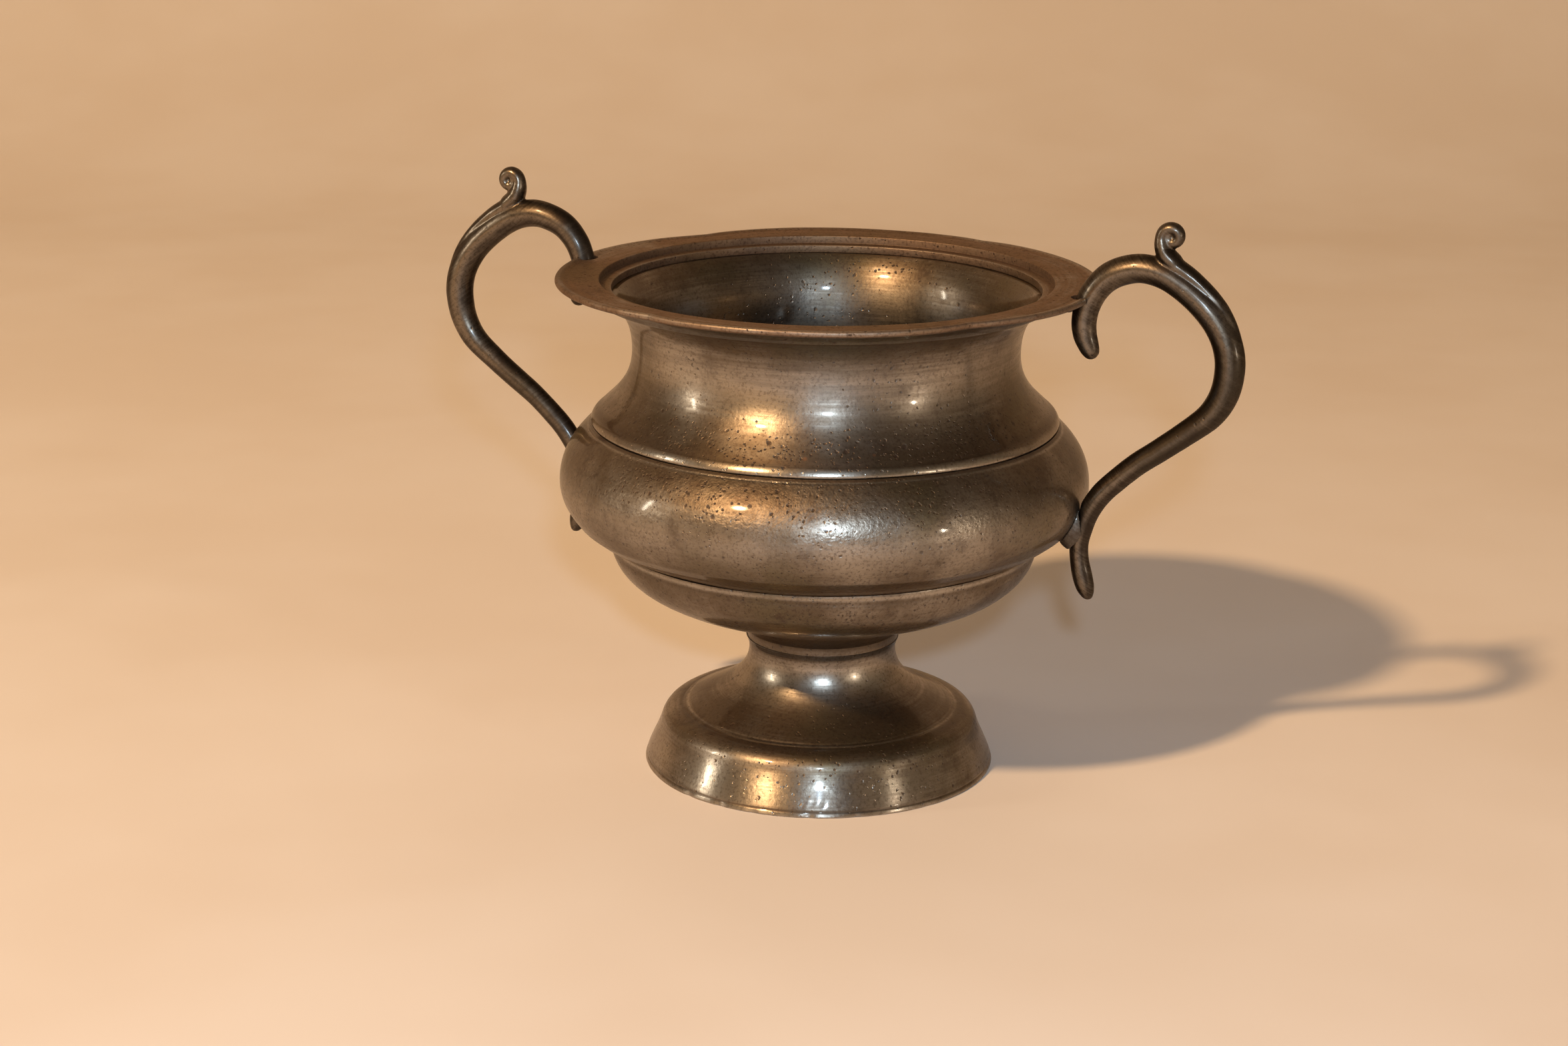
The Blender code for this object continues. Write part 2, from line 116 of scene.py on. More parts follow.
def bezier(start: Point, leave: Point, meet: Point, end: Point) -> list[Point]:
    """Points of a cubic curve in the (radius, height) plane.

    Args:
        start: the first point.
        leave: the pull at the start, from the start.
        meet: the pull at the end, from the end.
        end: the last point.

    Returns:
        The curve's points, both ends included.
    """
    first, last = Vector((start[0], 0.0, start[1])), Vector((end[0], 0.0, end[1]))
    pulls = first + Vector((leave[0], 0.0, leave[1])), last + Vector((meet[0], 0.0, meet[1]))
    return [(knot.x, knot.z) for knot in interpolate_bezier(first, *pulls, last, CURVE_STEPS + 1)]


def offset(points: Sequence[Point], distance: float) -> list[Point]:
    """An open outline moved sideways.

    Args:
        points: the outline, from bottom to top.
        distance: how far it moves to its left as it rises, towards the axis on an outer wall.

    Returns:
        The moved points.
    """
    moved = []
    for index, (radius, height) in enumerate(points):
        before = Vector(points[max(index - 1, 0)])
        after = Vector(points[min(index + 1, len(points) - 1)])
        along = (after - before).normalized()
        moved.append((radius - along.y * distance, height + along.x * distance))
    return moved


def end_at(points: Sequence[Point], height: float) -> list[Point]:
    """An outline with its last point moved along it to a height, and what lies past that dropped.

    Args:
        points: the outline, rising or falling.
        height: where it ends.

    Returns:
        The kept points.
    """
    kept = list(points)
    rising = 1.0 if kept[-1][1] > kept[0][1] else -1.0
    while len(kept) > 2 and (kept[-2][1] - height) * rising >= 0.0:
        kept.pop()
    near, far = Vector(kept[-2]), Vector(kept[-1])
    return kept[:-1] + [tuple(near.lerp(far, (height - near.y) / (far.y - near.y)))]


def inner_wall(outer: Sequence[Point]) -> list[Point]:
    """The inside line of a wall, from its top edge down to its bottom edge, which is one wall wide.

    Args:
        outer: the outside line, rising.

    Returns:
        The inside line's points, falling.
    """
    inside = end_at(offset(outer, WALL), outer[-1][1])[::-1]
    if inside[-1][1] <= outer[0][1]:
        return end_at(inside, outer[0][1])
    return inside + [(outer[0][0] - WALL, outer[0][1])]


def spaced(points: Sequence[Point], lines: Iterable[Line] = (), step: float = COARSE_STEP) -> list[Point]:
    """An outline with its points set evenly along it, closer together beside a worked line.

    Args:
        points: the outline.
        lines: the worked lines, which are also raised or cut here.
        step: the spacing away from them.

    Returns:
        The new points, both ends kept.
    """
    lines = list(lines)
    reach = [0.0]
    for near, far in zip(points, points[1:]):
        reach.append(reach[-1] + math.dist(near, far))
    placed, at, index = [], 0.0, 0
    while at < reach[-1] - FINE_STEP / 2:
        while reach[index + 1] < at:
            index += 1
        share = (at - reach[index]) / max(reach[index + 1] - reach[index], 1e-9)
        spot = Vector(points[index]).lerp(Vector(points[index + 1]), share)
        placed.append(tuple(spot))
        close = any(math.dist(line.at, spot) < 3.0 * line.width + step for line in lines)
        at += FINE_STEP if close else step
    placed.append(tuple(points[-1]))
    return worked(placed, lines)


def worked(points: Sequence[Point], lines: Iterable[Line]) -> list[Point]:
    """An outline moved outwards or inwards along its normals by the worked lines.

    Args:
        points: the outline.
        lines: the worked lines.

    Returns:
        The moved points.
    """
    lines = list(lines)
    moved = []
    for index, point in enumerate(points):
        before = Vector(points[max(index - 1, 0)])
        after = Vector(points[min(index + 1, len(points) - 1)])
        along = (after - before).normalized()
        rise = sum(line.rise * line.share(point) for line in lines)
        moved.append((point[0] + along.y * rise, point[1] - along.x * rise))
    return moved


# Shapes


def turned(outline: Sequence[Point], closed: bool, steps: int = TURN_STEPS) -> bmesh.types.BMesh:
    """A shape spun about Z.

    Args:
        outline: its section in (radius, height).
        closed: whether the section closes on itself, or has both ends on the axis.
        steps: the number of faces round it.

    Returns:
        The shape.
    """
    shape = bmesh.new()
    verts = [shape.verts.new((radius, 0.0, height)) for radius, height in outline]
    ends = verts[1:] + verts[:1] if closed else verts[1:]
    edges = [shape.edges.new(pair) for pair in zip(verts, ends)]
    sector = 2 * math.pi / 2**DOUBLINGS
    centre, axis = (0.0, 0.0, 0.0), (0.0, 0.0, 1.0)
    bmesh.ops.spin(
        shape, geom=verts + edges, cent=centre, axis=axis, angle=sector, steps=steps // 2**DOUBLINGS
    )
    for doubling in range(DOUBLINGS):
        everything = [*shape.verts, *shape.edges, *shape.faces]
        copy = bmesh.ops.duplicate(shape, geom=everything)["geom"]
        moved = [item for item in copy if isinstance(item, bmesh.types.BMVert)]
        turn = Matrix.Rotation(sector * 2**doubling, 3, "Z")
        bmesh.ops.rotate(shape, cent=centre, matrix=turn, verts=moved)
    settle(shape)
    return shape


def settle(shape: bmesh.types.BMesh) -> None:
    """Merges a shape's doubled points and turns its faces outwards.

    Args:
        shape: the shape to change.
    """
    bmesh.ops.remove_doubles(shape, verts=shape.verts, dist=MERGE_DISTANCE)
    bmesh.ops.recalc_face_normals(shape, faces=shape.faces)
    shape.normal_update()


def through(keys: Sequence[Sequence[float]], steps: int) -> list[tuple[float, ...]]:
    """A smooth line through key points of any number of values.

    Args:
        keys: the points it passes through.
        steps: how many steps lie between each two.

    Returns:
        The line's points.
    """
    line = []
    for index in range(len(keys) - 1):
        before = keys[max(index - 1, 0)]
        start, end = keys[index], keys[index + 1]
        after = keys[min(index + 2, len(keys) - 1)]
        for step in range(steps):
            t = step / steps
            weights = (
                (-t + 2 * t**2 - t**3) / 2,
                (2 - 5 * t**2 + 3 * t**3) / 2,
                (t + 4 * t**2 - 3 * t**3) / 2,
                (-(t**2) + t**3) / 2,
            )
            values = zip(before, start, end, after)
            line.append(tuple(sum(w * v for w, v in zip(weights, four)) for four in values))
    return line + [tuple(keys[-1])]


def swept(stations: Sequence[Station], flatness: float, squareness: float, sides: int) -> bmesh.types.BMesh:
    """A bar along a line in the XZ plane.

    Args:
        stations: (x, z, thickness) down the line.
        flatness: its width along Y, as a share of its thickness.
        squareness: the power of its section: 2 is an oval, and less draws it out to ridges on its four sides.
        sides: the number of points round it.

    Returns:
        The closed shape.
    """
    shape = bmesh.new()
    loops = []
    for index, (x, z, thickness) in enumerate(stations):
        before = stations[max(index - 1, 0)]
        after = stations[min(index + 1, len(stations) - 1)]
        along = Vector((after[0] - before[0], 0.0, after[1] - before[1])).normalized()
        across = along.cross(Vector((0.0, 1.0, 0.0)))
        ring = bmesh.ops.create_circle(shape, segments=sides, radius=1.0)["verts"]
        for vert in ring:
            drawn = (abs(vert.co.x) ** squareness + abs(vert.co.y) ** squareness) ** (-1.0 / squareness)
            vert.co *= drawn
        place = Matrix.Identity(4)
        place.col[0] = (*across * thickness / 2, 0.0)
        place.col[1] = (0.0, flatness * thickness / 2, 0.0, 0.0)
        place.col[2] = (*along, 0.0)
        place.col[3] = (x, 0.0, z, 1.0)
        bmesh.ops.transform(shape, matrix=place, verts=ring)
        loops.append({edge for vert in ring for edge in vert.link_edges})
    for first, second in zip(loops, loops[1:]):
        bmesh.ops.bridge_loops(shape, edges=list(first | second))
    bmesh.ops.contextual_create(shape, geom=list(loops[0]))
    bmesh.ops.contextual_create(shape, geom=list(loops[-1]))
    settle(shape)
    return shape


def blob(middle: Vector, size: Vector) -> bmesh.types.BMesh:
    """A rounded lump.

    Args:
        middle: its centre.
        size: its three half sizes.

    Returns:
        The shape.
    """
    shape = bmesh.new()
    place = Matrix.Translation(middle) @ Matrix.Diagonal((*size, 1.0))
    bmesh.ops.create_icosphere(shape, subdivisions=5, radius=1.0, matrix=place)
    return shape


def uneven(shape: bmesh.types.BMesh, size: float, height: float, seed: float) -> None:
    """Lets a shape's surface wander along its normals, as hammered and handled metal does.

    Args:
        shape: the shape to change.
        size: how far apart the swellings lie.
        height: how high they are.
        seed: which wandering it is.
    """
    shift = Vector((seed, seed * 1.7, seed * 0.6))
    moves = [noise.noise(vert.co / size + shift) * height for vert in shape.verts]
    for vert, move in zip(shape.verts, moves):
        vert.co += vert.normal * move
    shape.normal_update()


@dataclass(frozen=True)
class Dent:
    """A small knock in a surface: a hollow, or a burr where its depth is negative."""

    angle: float
    radius: float
    height: float
    size: float
    depth: float
    length: float = 1.0
    slant: float = 0.0

    def press(self, shape: bmesh.types.BMesh) -> None:
        """Pushes the surface in.

        Args:
            shape: the shape to change.
        """
        turn = math.radians(self.angle)
        middle = Vector((self.radius * math.cos(turn), self.radius * math.sin(turn), self.height))
        lean = math.radians(self.slant)
        side = Vector((-math.sin(turn), math.cos(turn), 0.0))
        along = side * math.cos(lean) + Vector((0.0, 0.0, math.sin(lean)))
        reach = 3.0 * self.size * self.length
        for vert in shape.verts:
            away = vert.co - middle
            if away.length > reach:
                continue
            far = away.dot(along)
            near = (away - along * far).length
            share = fade(far, self.size * self.length) * fade(near, self.size)
            vert.co -= vert.normal * self.depth * share


def solid(name: str, shape: bmesh.types.BMesh) -> bpy.types.Object:
    """An object from a shape, in the scene, with no finish yet.

    Args:
        name: what it is called.
        shape: the shape, which is used up.

    Returns:
        The object.
    """
    mesh = bpy.data.meshes.new(name)
    shape.to_mesh(mesh)
    shape.free()
    made = bpy.data.objects.new(name, mesh)
    bpy.context.scene.collection.objects.link(made)
    return made


def cut(piece: bpy.types.Object, tools: Iterable[bmesh.types.BMesh]) -> None:
    """Cuts shapes out of an object.

    Args:
        piece: the object that is changed.
        tools: the shapes that are taken out of it.
    """
    for index, tool in enumerate(tools):
        other = solid(f"{piece.name}_tool_{index}", tool)
        modifier = piece.modifiers.new("Cut", "BOOLEAN")
        modifier.operation = "DIFFERENCE"
        modifier.solver = "EXACT"
        modifier.object = other
        settle_modifiers(piece)
        mesh = other.data
        bpy.data.objects.remove(other)
        bpy.data.meshes.remove(mesh)


def settle_modifiers(piece: bpy.types.Object) -> None:
    """Replaces an object's mesh by what its modifiers make of it.

    Args:
        piece: the object that is changed.
    """
    graph = bpy.context.evaluated_depsgraph_get()
    mesh = bpy.data.meshes.new_from_object(piece.evaluated_get(graph))
    old = piece.data
    piece.modifiers.clear()
    piece.data = mesh
    bpy.data.meshes.remove(old)


def cast(piece: bpy.types.Object, grain: float, rounds: int) -> None:
    """Turns overlapping shapes into one skin and softens its creases, as in a sand casting.

    Args:
        piece: the object that is changed.
        grain: the size of the skin's faces.
        rounds: how often it is smoothed.
    """
    modifier = piece.modifiers.new("Cast", "REMESH")
    modifier.mode = "VOXEL"
    modifier.voxel_size = grain
    settle_modifiers(piece)
    shape = bmesh.new()
    shape.from_mesh(piece.data)
    for _ in range(rounds):
        bmesh.ops.smooth_vert(
            shape, verts=shape.verts, factor=0.5, use_axis_x=True, use_axis_y=True, use_axis_z=True
        )
    settle(shape)
    shape.to_mesh(piece.data)
    shape.free()


# Finishes

# The values that a piece carries for its finish. The first brightens rubbed metal and also paints a highlight
# along the handles' side ridges; the second darkens grooves and joints and also paints shade under the brim
# and under the bowl; the third marks pits.
CARRIED = ("wear_and_highlight", "grime_and_shade", "pitted")


class Graph:
    """A material's nodes, added one at a time."""

    def __init__(self, name: str) -> None:
        """Starts a material.

        Args:
            name: what it is called.
        """
        self.material = bpy.data.materials.new(name)
        self.material.use_nodes = True
        self.tree = self.material.node_tree
        self.shader = self.tree.nodes["Principled BSDF"]

    def node(self, kind: str, inputs: dict[int | str, object], **settings: object) -> bpy.types.Node:
        """Adds a node.

        Args:
            kind: its type.
            inputs: a value or another node's output for each input.
            settings: its other properties.

        Returns:
            The node.
        """
        made = self.tree.nodes.new(kind)
        for key, value in settings.items():
            setattr(made, key, value)
        for key, value in inputs.items():
            if isinstance(value, bpy.types.NodeSocket):
                self.tree.links.new(value, made.inputs[key])
            else:
                made.inputs[key].default_value = value
        return made

    def calc(self, operation: str, *values: object) -> bpy.types.NodeSocket:
        """The result of one sum on numbers or on other nodes' outputs."""
        inputs = dict(enumerate(values))
        return self.node("ShaderNodeMath", inputs, operation=operation).outputs[0]

    def cloud(
        self, vector: object, scale: float, detail: float = 4.0, rough: float = 0.55
    ) -> bpy.types.NodeSocket:
        """Soft noise from 0 to 1, with so many swellings to the metre."""
        inputs = {"Vector": vector, "Scale": scale, "Detail": detail, "Roughness": rough}
        return self.node("ShaderNodeTexNoise", inputs).outputs[0]

    def rise(
        self, value: object, low: float, high: float, bottom: float = 0.0, top: float = 1.0
    ) -> bpy.types.NodeSocket:
        """A value eased from bottom to top as it goes from low to high."""
        inputs = {"Value": value, "From Min": low, "From Max": high, "To Min": bottom, "To Max": top}
        return self.node("ShaderNodeMapRange", inputs, interpolation_type="SMOOTHSTEP").outputs[0]

    def blend(self, share: object, first: object, second: object) -> bpy.types.NodeSocket:
        """A colour between two, by a share from 0 to 1."""
        inputs = {0: share, 6: as_rgba(first), 7: as_rgba(second)}
        return self.node("ShaderNodeMix", inputs, data_type="RGBA", clamp_factor=True).outputs[2]

    def spots(self, vector: object, scale: float, radius: float, share: object) -> bpy.types.NodeSocket:
        """Scattered round spots.

        Args:
            vector: where they are.
            scale: how many fit along a metre.
            radius: their size, as a share of the room that each has.
            share: how many of the places hold one, from 0 to 1.

        Returns:
            1 in the middle of a spot and 0 outside.
        """
        cells = self.node("ShaderNodeTexVoronoi", {"Vector": vector, "Scale": scale, "Randomness": 1.0})
        pick = self.node("ShaderNodeSeparateColor", {0: cells.outputs["Color"]})
        held = self.calc("LESS_THAN", pick.outputs[0], share)
        size = self.calc("MULTIPLY_ADD", pick.outputs[1], radius * 0.7, radius * 0.5)
        near = self.calc("SUBTRACT", 1.0, self.calc("DIVIDE", cells.outputs["Distance"], size))
        return self.calc("MULTIPLY", held, self.rise(near, 0.0, 0.7))

    def scratches(
        self, vector: object, turn: Sequence[float], scale: float, fine: float
    ) -> bpy.types.NodeSocket:
        """Short fine scratches that all run one way.

        Args:
            vector: where they are.
            turn: the way they run, as three angles.
            scale: how many fit along a metre.
            fine: how thin they are, as a share of their room.

        Returns:
            1 on a scratch and 0 off it.
        """
        inputs = {"Vector": vector, "Rotation": turn, "Scale": (1.0, 0.09, 1.0)}
        drawn = self.node("ShaderNodeMapping", inputs).outputs[0]
        cells = self.node("ShaderNodeTexVoronoi", {"Vector": drawn, "Scale": scale, "Randomness": 1.0})
        pick = self.node("ShaderNodeSeparateColor", {0: cells.outputs["Color"]})
        held = self.calc("LESS_THAN", pick.outputs[0], 0.16)
        return self.calc("MULTIPLY", held, self.rise(cells.outputs["Distance"], fine, fine * 0.4))


def as_rgba(value: object) -> object:
    """A colour with its fourth value, or a node's output as it is."""
    return (*value, 1.0) if isinstance(value, tuple) else value


@dataclass(frozen=True)
class Layers:
    """What a finish is mixed from: the surface's coordinates, and values from 0 to 1 over it."""

    place: bpy.types.NodeSocket
    wear_and_highlight: bpy.types.NodeSocket
    grime_and_shade: bpy.types.NodeSocket
    pitted: bpy.types.NodeSocket
    broad: bpy.types.NodeSocket
    drift: bpy.types.NodeSocket
    marks: bpy.types.NodeSocket
    pits: bpy.types.NodeSocket
    scratch: bpy.types.NodeSocket
    rubbed_and_highlight: bpy.types.NodeSocket


@dataclass(frozen=True)
class Pewter:
    """Old pewter: bright where it is rubbed and where a highlight is painted, darker where it is grimy and
    where shade is painted, with a brown film, blotches, pits, turning marks and scratches.

    Heights are in metres. The turning marks follow height and radius by two weights, so that they ring
    a piece whatever its slope is. The brushing bends highlights across them, up to a height if one is given.
    """

    name: str
    metal: Colour = (0.39, 0.355, 0.315)
    film: Colour = (0.138, 0.105, 0.075)
    stain: Colour = (0.062, 0.040, 0.030)
    cloud: Colour = (0.122, 0.108, 0.062)
    rust: Colour = (0.36, 0.16, 0.07)
    edge_tint: Colour = (0.62, 0.56, 0.50)
    film_cover: float = 0.55
    stain_cover: float = 0.80
    gloss: float = 0.30
    dull: float = 0.46
    streaks: float = 1.7
    lacquer: float = 0.42
    lacquer_dull: float = 0.09
    brushed: float = 0.0
    brushed_up_to: float | None = None
    pit_share: float = 0.25
    pit_depth: float = 90e-6
    scratch_depth: float = 30e-6
    grain: float = 50e-6
    turning: float = 14e-6
    turning_height: float = 1.0
    turning_radius: float = 0.8
    rust_share: float = 0.0

    def material(self) -> bpy.types.Material:
        """Builds the finish.

        Returns:
            The material.
        """
        graph = Graph(self.name)
        layers = self.layers(graph)
        cover = self.cover(graph, layers)
        height = self.relief(graph, layers)
        bump = graph.node("ShaderNodeBump", {"Height": height, "Strength": 1.0, "Distance": 1.0})
        around = graph.node("ShaderNodeTangent", {}, direction_type="RADIAL", axis="Z")
        join, inputs = graph.tree.links.new, graph.shader.inputs
        join(self.colour(graph, layers, cover), inputs["Base Color"])
        join(self.roughness(graph, layers, cover), inputs["Roughness"])
        join(bump.outputs[0], inputs["Normal"])
        join(around.outputs[0], inputs["Tangent"])
        inputs["Anisotropic Rotation"].default_value = 0.25
        if self.brushed_up_to is None:
            inputs["Anisotropic"].default_value = self.brushed
        else:
            up, top = graph.node("ShaderNodeSeparateXYZ", {0: layers.place}).outputs[2], self.brushed_up_to
            brushed = graph.rise(up, top - 0.5 * MM, top + 1.5 * MM, self.brushed, 0.2 * self.brushed)
            join(brushed, inputs["Anisotropic"])
        inputs["Metallic"].default_value = 1.0
        inputs["Coat Weight"].default_value = self.lacquer
        inputs["Coat Roughness"].default_value = self.lacquer_dull
        inputs["Specular Tint"].default_value = as_rgba(self.edge_tint)
        return graph.material

    def layers(self, graph: Graph) -> Layers:
        """Draws the noises, marks and pits, and reads what the piece carries.

        Args:
            graph: where the nodes go.

        Returns:
            The layers.
        """
        place = graph.node("ShaderNodeTexCoord", {}).outputs["Object"]
        wear_and_highlight, grime_and_shade, pitted = (
            graph.node("ShaderNodeAttribute", {}, attribute_name=name).outputs["Fac"] for name in CARRIED
        )
        broad = graph.cloud(place, 26.0, 5.0)
        drift = graph.cloud(place, 61.0, 6.0, 0.62)
        return Layers(
            place=place,
            wear_and_highlight=wear_and_highlight,
            grime_and_shade=grime_and_shade,
            pitted=pitted,
            broad=broad,
            drift=drift,
            marks=self.turning_marks(graph, place),
            pits=self.pits(graph, place, pitted),
            scratch=self.scratching(graph, place, broad),
            rubbed_and_highlight=graph.calc("MULTIPLY", wear_and_highlight, graph.rise(drift, 0.30, 0.52, 0.35, 1.0)),
        )

    def cover(self, graph: Graph, layers: Layers) -> bpy.types.NodeSocket:
        """How much of the film lies over the metal, streaked round the piece, thickened where it is grimy and
        where shade is painted, and thinned where it is worn and where a highlight is painted.

        Args:
            graph: where the nodes go.
            layers: the finish's layers.

        Returns:
            A value from 0 to 1.
        """
        cover = graph.calc("MULTIPLY_ADD", layers.broad, 1.6, self.film_cover - 0.80)
        streaks = graph.calc("SUBTRACT", layers.marks, 0.5)
        cover = graph.calc("MULTIPLY_ADD", streaks, self.streaks, cover)
        patches = graph.calc("SUBTRACT", layers.drift, 0.5)
        cover = graph.calc("MULTIPLY_ADD", patches, 1.8, cover)
        # Grime in grooves and joints, and painted shade under the brim and under the bowl, thicken the film.
        cover = graph.calc("ADD", cover, graph.calc("MULTIPLY", layers.grime_and_shade, 0.8))
        # Rubbed metal, and the painted highlight along the handles' ridges, thin it.
        cover = graph.calc("SUBTRACT", cover, graph.calc("MULTIPLY", layers.rubbed_and_highlight, 1.1))
        return graph.rise(cover, -0.05, 1.05)

    def colour(self, graph: Graph, layers: Layers, cover: bpy.types.NodeSocket) -> bpy.types.NodeSocket:
        """The metal under its film, with clouds, stains, specks, dark pits, rust, painted shade, and bright
        rubbed places, some of them painted highlights.

        Args:
            graph: where the nodes go.
            layers: the finish's layers.
            cover: how much film there is.

        Returns:
            The colour.
        """
        blotch = graph.rise(graph.cloud(layers.place, 170.0, 8.0, 0.72), 0.50, 0.66)
        stained = graph.calc("MULTIPLY", blotch, graph.rise(layers.drift, 0.42, 0.68))
        stained = graph.calc("MULTIPLY", stained, self.stain_cover)
        # Grime and painted shade deepen the stains.
        stained = graph.calc("ADD", stained, graph.calc("MULTIPLY", layers.grime_and_shade, 0.55))
        speck = graph.cloud(layers.place, 1300.0, 3.0, 0.7)
        colour = graph.blend(cover, self.metal, self.film)
        colour = graph.blend(graph.rise(layers.broad, 0.48, 0.70, 0.0, 0.65), colour, self.cloud)
        colour = graph.blend(stained, colour, self.stain)
        colour = graph.blend(graph.rise(speck, 0.48, 0.66, 0.0, 0.55), colour, self.stain)
        colour = graph.blend(graph.calc("MULTIPLY", layers.pits, 0.85), colour, self.stain)
        if self.rust_share:
            rusty = graph.spots(layers.place, 210.0, 0.20, self.rust_share)
            share = graph.calc("MULTIPLY", rusty, graph.calc("MULTIPLY", layers.pitted, 0.8))
            colour = graph.blend(share, colour, self.rust)
        colour = graph.blend(graph.calc("MULTIPLY", layers.scratch, 0.75), colour, self.metal)
        # Bare metal shows where it is rubbed and where a highlight is painted along the handles' ridges.
        return graph.blend(graph.calc("MULTIPLY", layers.rubbed_and_highlight, 0.55), colour, self.metal)

    def roughness(self, graph: Graph, layers: Layers, cover: bpy.types.NodeSocket) -> bpy.types.NodeSocket:
        """How dull the surface is: glossy on bare metal, and dull under film, in pits, and where grime and
        painted shade are marked.

        Args:
            graph: where the nodes go.
            layers: the finish's layers.
            cover: how much film there is.

        Returns:
            The roughness.
        """
        rough = graph.rise(cover, 0.0, 1.0, self.gloss, self.dull)
        rough = graph.calc("MULTIPLY_ADD", graph.calc("SUBTRACT", layers.drift, 0.5), 0.16, rough)
        rough = graph.calc("MULTIPLY_ADD", layers.pits, 0.20, rough)
        return graph.calc("MULTIPLY_ADD", layers.grime_and_shade, 0.12, rough)

    def relief(self, graph: Graph, layers: Layers) -> bpy.types.NodeSocket:
        """The surface's fine relief: two sizes of grain, turning marks, pits and scratches.

        Args:
            graph: where the nodes go.
            layers: the finish's layers.

        Returns:
            The height, in metres.
        """
        height = graph.calc("MULTIPLY", graph.cloud(layers.place, 1150.0, 2.0), self.grain)
        height = graph.calc("MULTIPLY_ADD", graph.cloud(layers.place, 420.0, 2.0), self.grain, height)
        height = graph.calc("MULTIPLY_ADD", layers.marks, self.turning, height)
        height = graph.calc("MULTIPLY_ADD", layers.pits, -self.pit_depth, height)
        return graph.calc("MULTIPLY_ADD", layers.scratch, -self.scratch_depth, height)

    def turning_marks(self, graph: Graph, place: bpy.types.NodeSocket) -> bpy.types.NodeSocket:
        """Fine lines round the axis, broken along their length.

        Args:
            graph: where the nodes go.
            place: the surface's coordinates.

        Returns:
            A value from 0 to 1.
        """
        split = graph.node("ShaderNodeSeparateXYZ", {0: place})
        x, y, z = split.outputs
        flat = graph.node("ShaderNodeCombineXYZ", {0: x, 1: y})
        out = graph.node("ShaderNodeVectorMath", {0: flat.outputs[0]}, operation="LENGTH").outputs["Value"]
        run = graph.calc("MULTIPLY", z, self.turning_height)
        run = graph.calc("MULTIPLY_ADD", out, self.turning_radius, run)
        layers = []
        for length, fineness in ((55.0, 1500.0), (24.0, 420.0)):
            rings = graph.node(
                "ShaderNodeCombineXYZ",
                {
                    0: graph.calc("MULTIPLY", x, length),
                    1: graph.calc("MULTIPLY", y, length),
                    2: graph.calc("MULTIPLY", run, fineness),
                },
            )
            layers.append(graph.cloud(rings.outputs[0], 1.0, 4.0, 0.6))
        return graph.calc("MULTIPLY_ADD", layers[1], 0.45, graph.calc("MULTIPLY", layers[0], 0.55))

    def pits(
        self, graph: Graph, place: bpy.types.NodeSocket, pitted: bpy.types.NodeSocket
    ) -> bpy.types.NodeSocket:
        """Corrosion pits of three sizes, denser where the surface is marked as pitted.

        Args:
            graph: where the nodes go.
            place: the surface's coordinates.
            pitted: how pitted the surface is there.

        Returns:
            1 in a pit and 0 outside.
        """
        ragged = graph.node("ShaderNodeTexNoise", {"Vector": place, "Scale": 700.0, "Detail": 2.0})
        pushed = graph.node(
            "ShaderNodeVectorMath",
            {0: ragged.outputs["Color"], 1: (0.0011, 0.0011, 0.0011), 2: place},
            operation="MULTIPLY_ADD",
        ).outputs[0]
        where = graph.rise(graph.cloud(place, 48.0, 4.0, 0.6), 0.38, 0.68)
        share = graph.calc("MULTIPLY", where, self.pit_share)
        share = graph.calc("MULTIPLY_ADD", pitted, 0.55, share)
        total = graph.spots(pushed, 1150.0, 0.42, share)
        for scale, radius, weight in ((560.0, 0.34, 0.55), (230.0, 0.24, 0.22)):
            more = graph.spots(pushed, scale, radius, graph.calc("MULTIPLY", share, weight))
            total = graph.calc("MAXIMUM", total, more)
        return total

    def scratching(
        self, graph: Graph, place: bpy.types.NodeSocket, broad: bpy.types.NodeSocket
    ) -> bpy.types.NodeSocket:
        """Scratches in three directions.

        Args:
            graph: where the nodes go.
            place: the surface's coordinates.
            broad: slow noise, which thins them out in places.

        Returns:
            1 on a scratch and 0 off it.
        """
        total = graph.scratches(place, (0.3, 0.2, 0.9), 240.0, 0.032)
        for turn, scale in (((1.1, 0.4, 2.2), 190.0), ((0.2, 1.3, 0.1), 300.0)):
            total = graph.calc("MAXIMUM", total, graph.scratches(place, turn, scale, 0.030))
        return graph.calc("MULTIPLY", total, graph.rise(broad, 0.40, 0.60))


@dataclass(frozen=True)
class Cloth:
    """The pale covering of the table."""

    name: str = "pale_cloth"
    colour: Colour = (0.80, 0.755, 0.735)
    shade: Colour = (0.765, 0.705, 0.665)

    def material(self) -> bpy.types.Material:
        """Builds the finish.

        Returns:
            The material.
        """
        graph = Graph(self.name)
        place = graph.node("ShaderNodeTexCoord", {}).outputs["Object"]
        tone = graph.rise(graph.cloud(place, 6.0, 3.0), 0.35, 0.65)
        weave = graph.cloud(place, 1500.0, 2.0)
        colour = graph.blend(tone, self.colour, self.shade)
        folds = graph.calc("MULTIPLY", graph.cloud(place, 9.0, 2.0), 0.0016)
        height = graph.calc("MULTIPLY_ADD", weave, 2e-5, folds)
        bump = graph.node("ShaderNodeBump", {"Height": height, "Strength": 0.6, "Distance": 1.0})
        graph.tree.links.new(colour, graph.shader.inputs["Base Color"])
        graph.tree.links.new(bump.outputs[0], graph.shader.inputs["Normal"])
        graph.shader.inputs["Roughness"].default_value = 0.9
        graph.shader.inputs["Specular IOR Level"].default_value = 0.2
        return graph.material


# What each piece carries for its finish


@dataclass(frozen=True)
class Mark:
    """A place on a turned piece's section that is worn, pitted, grimy, or darkened with painted shade."""

    at: Point
    width: float
    amount: float

    def share(self, point: Sequence[float]) -> float:
        """How strongly the mark shows at a point of the section."""
        return self.amount * fade(math.dist(self.at, point), self.width)


Shade = Callable[[Vector, Vector], float]


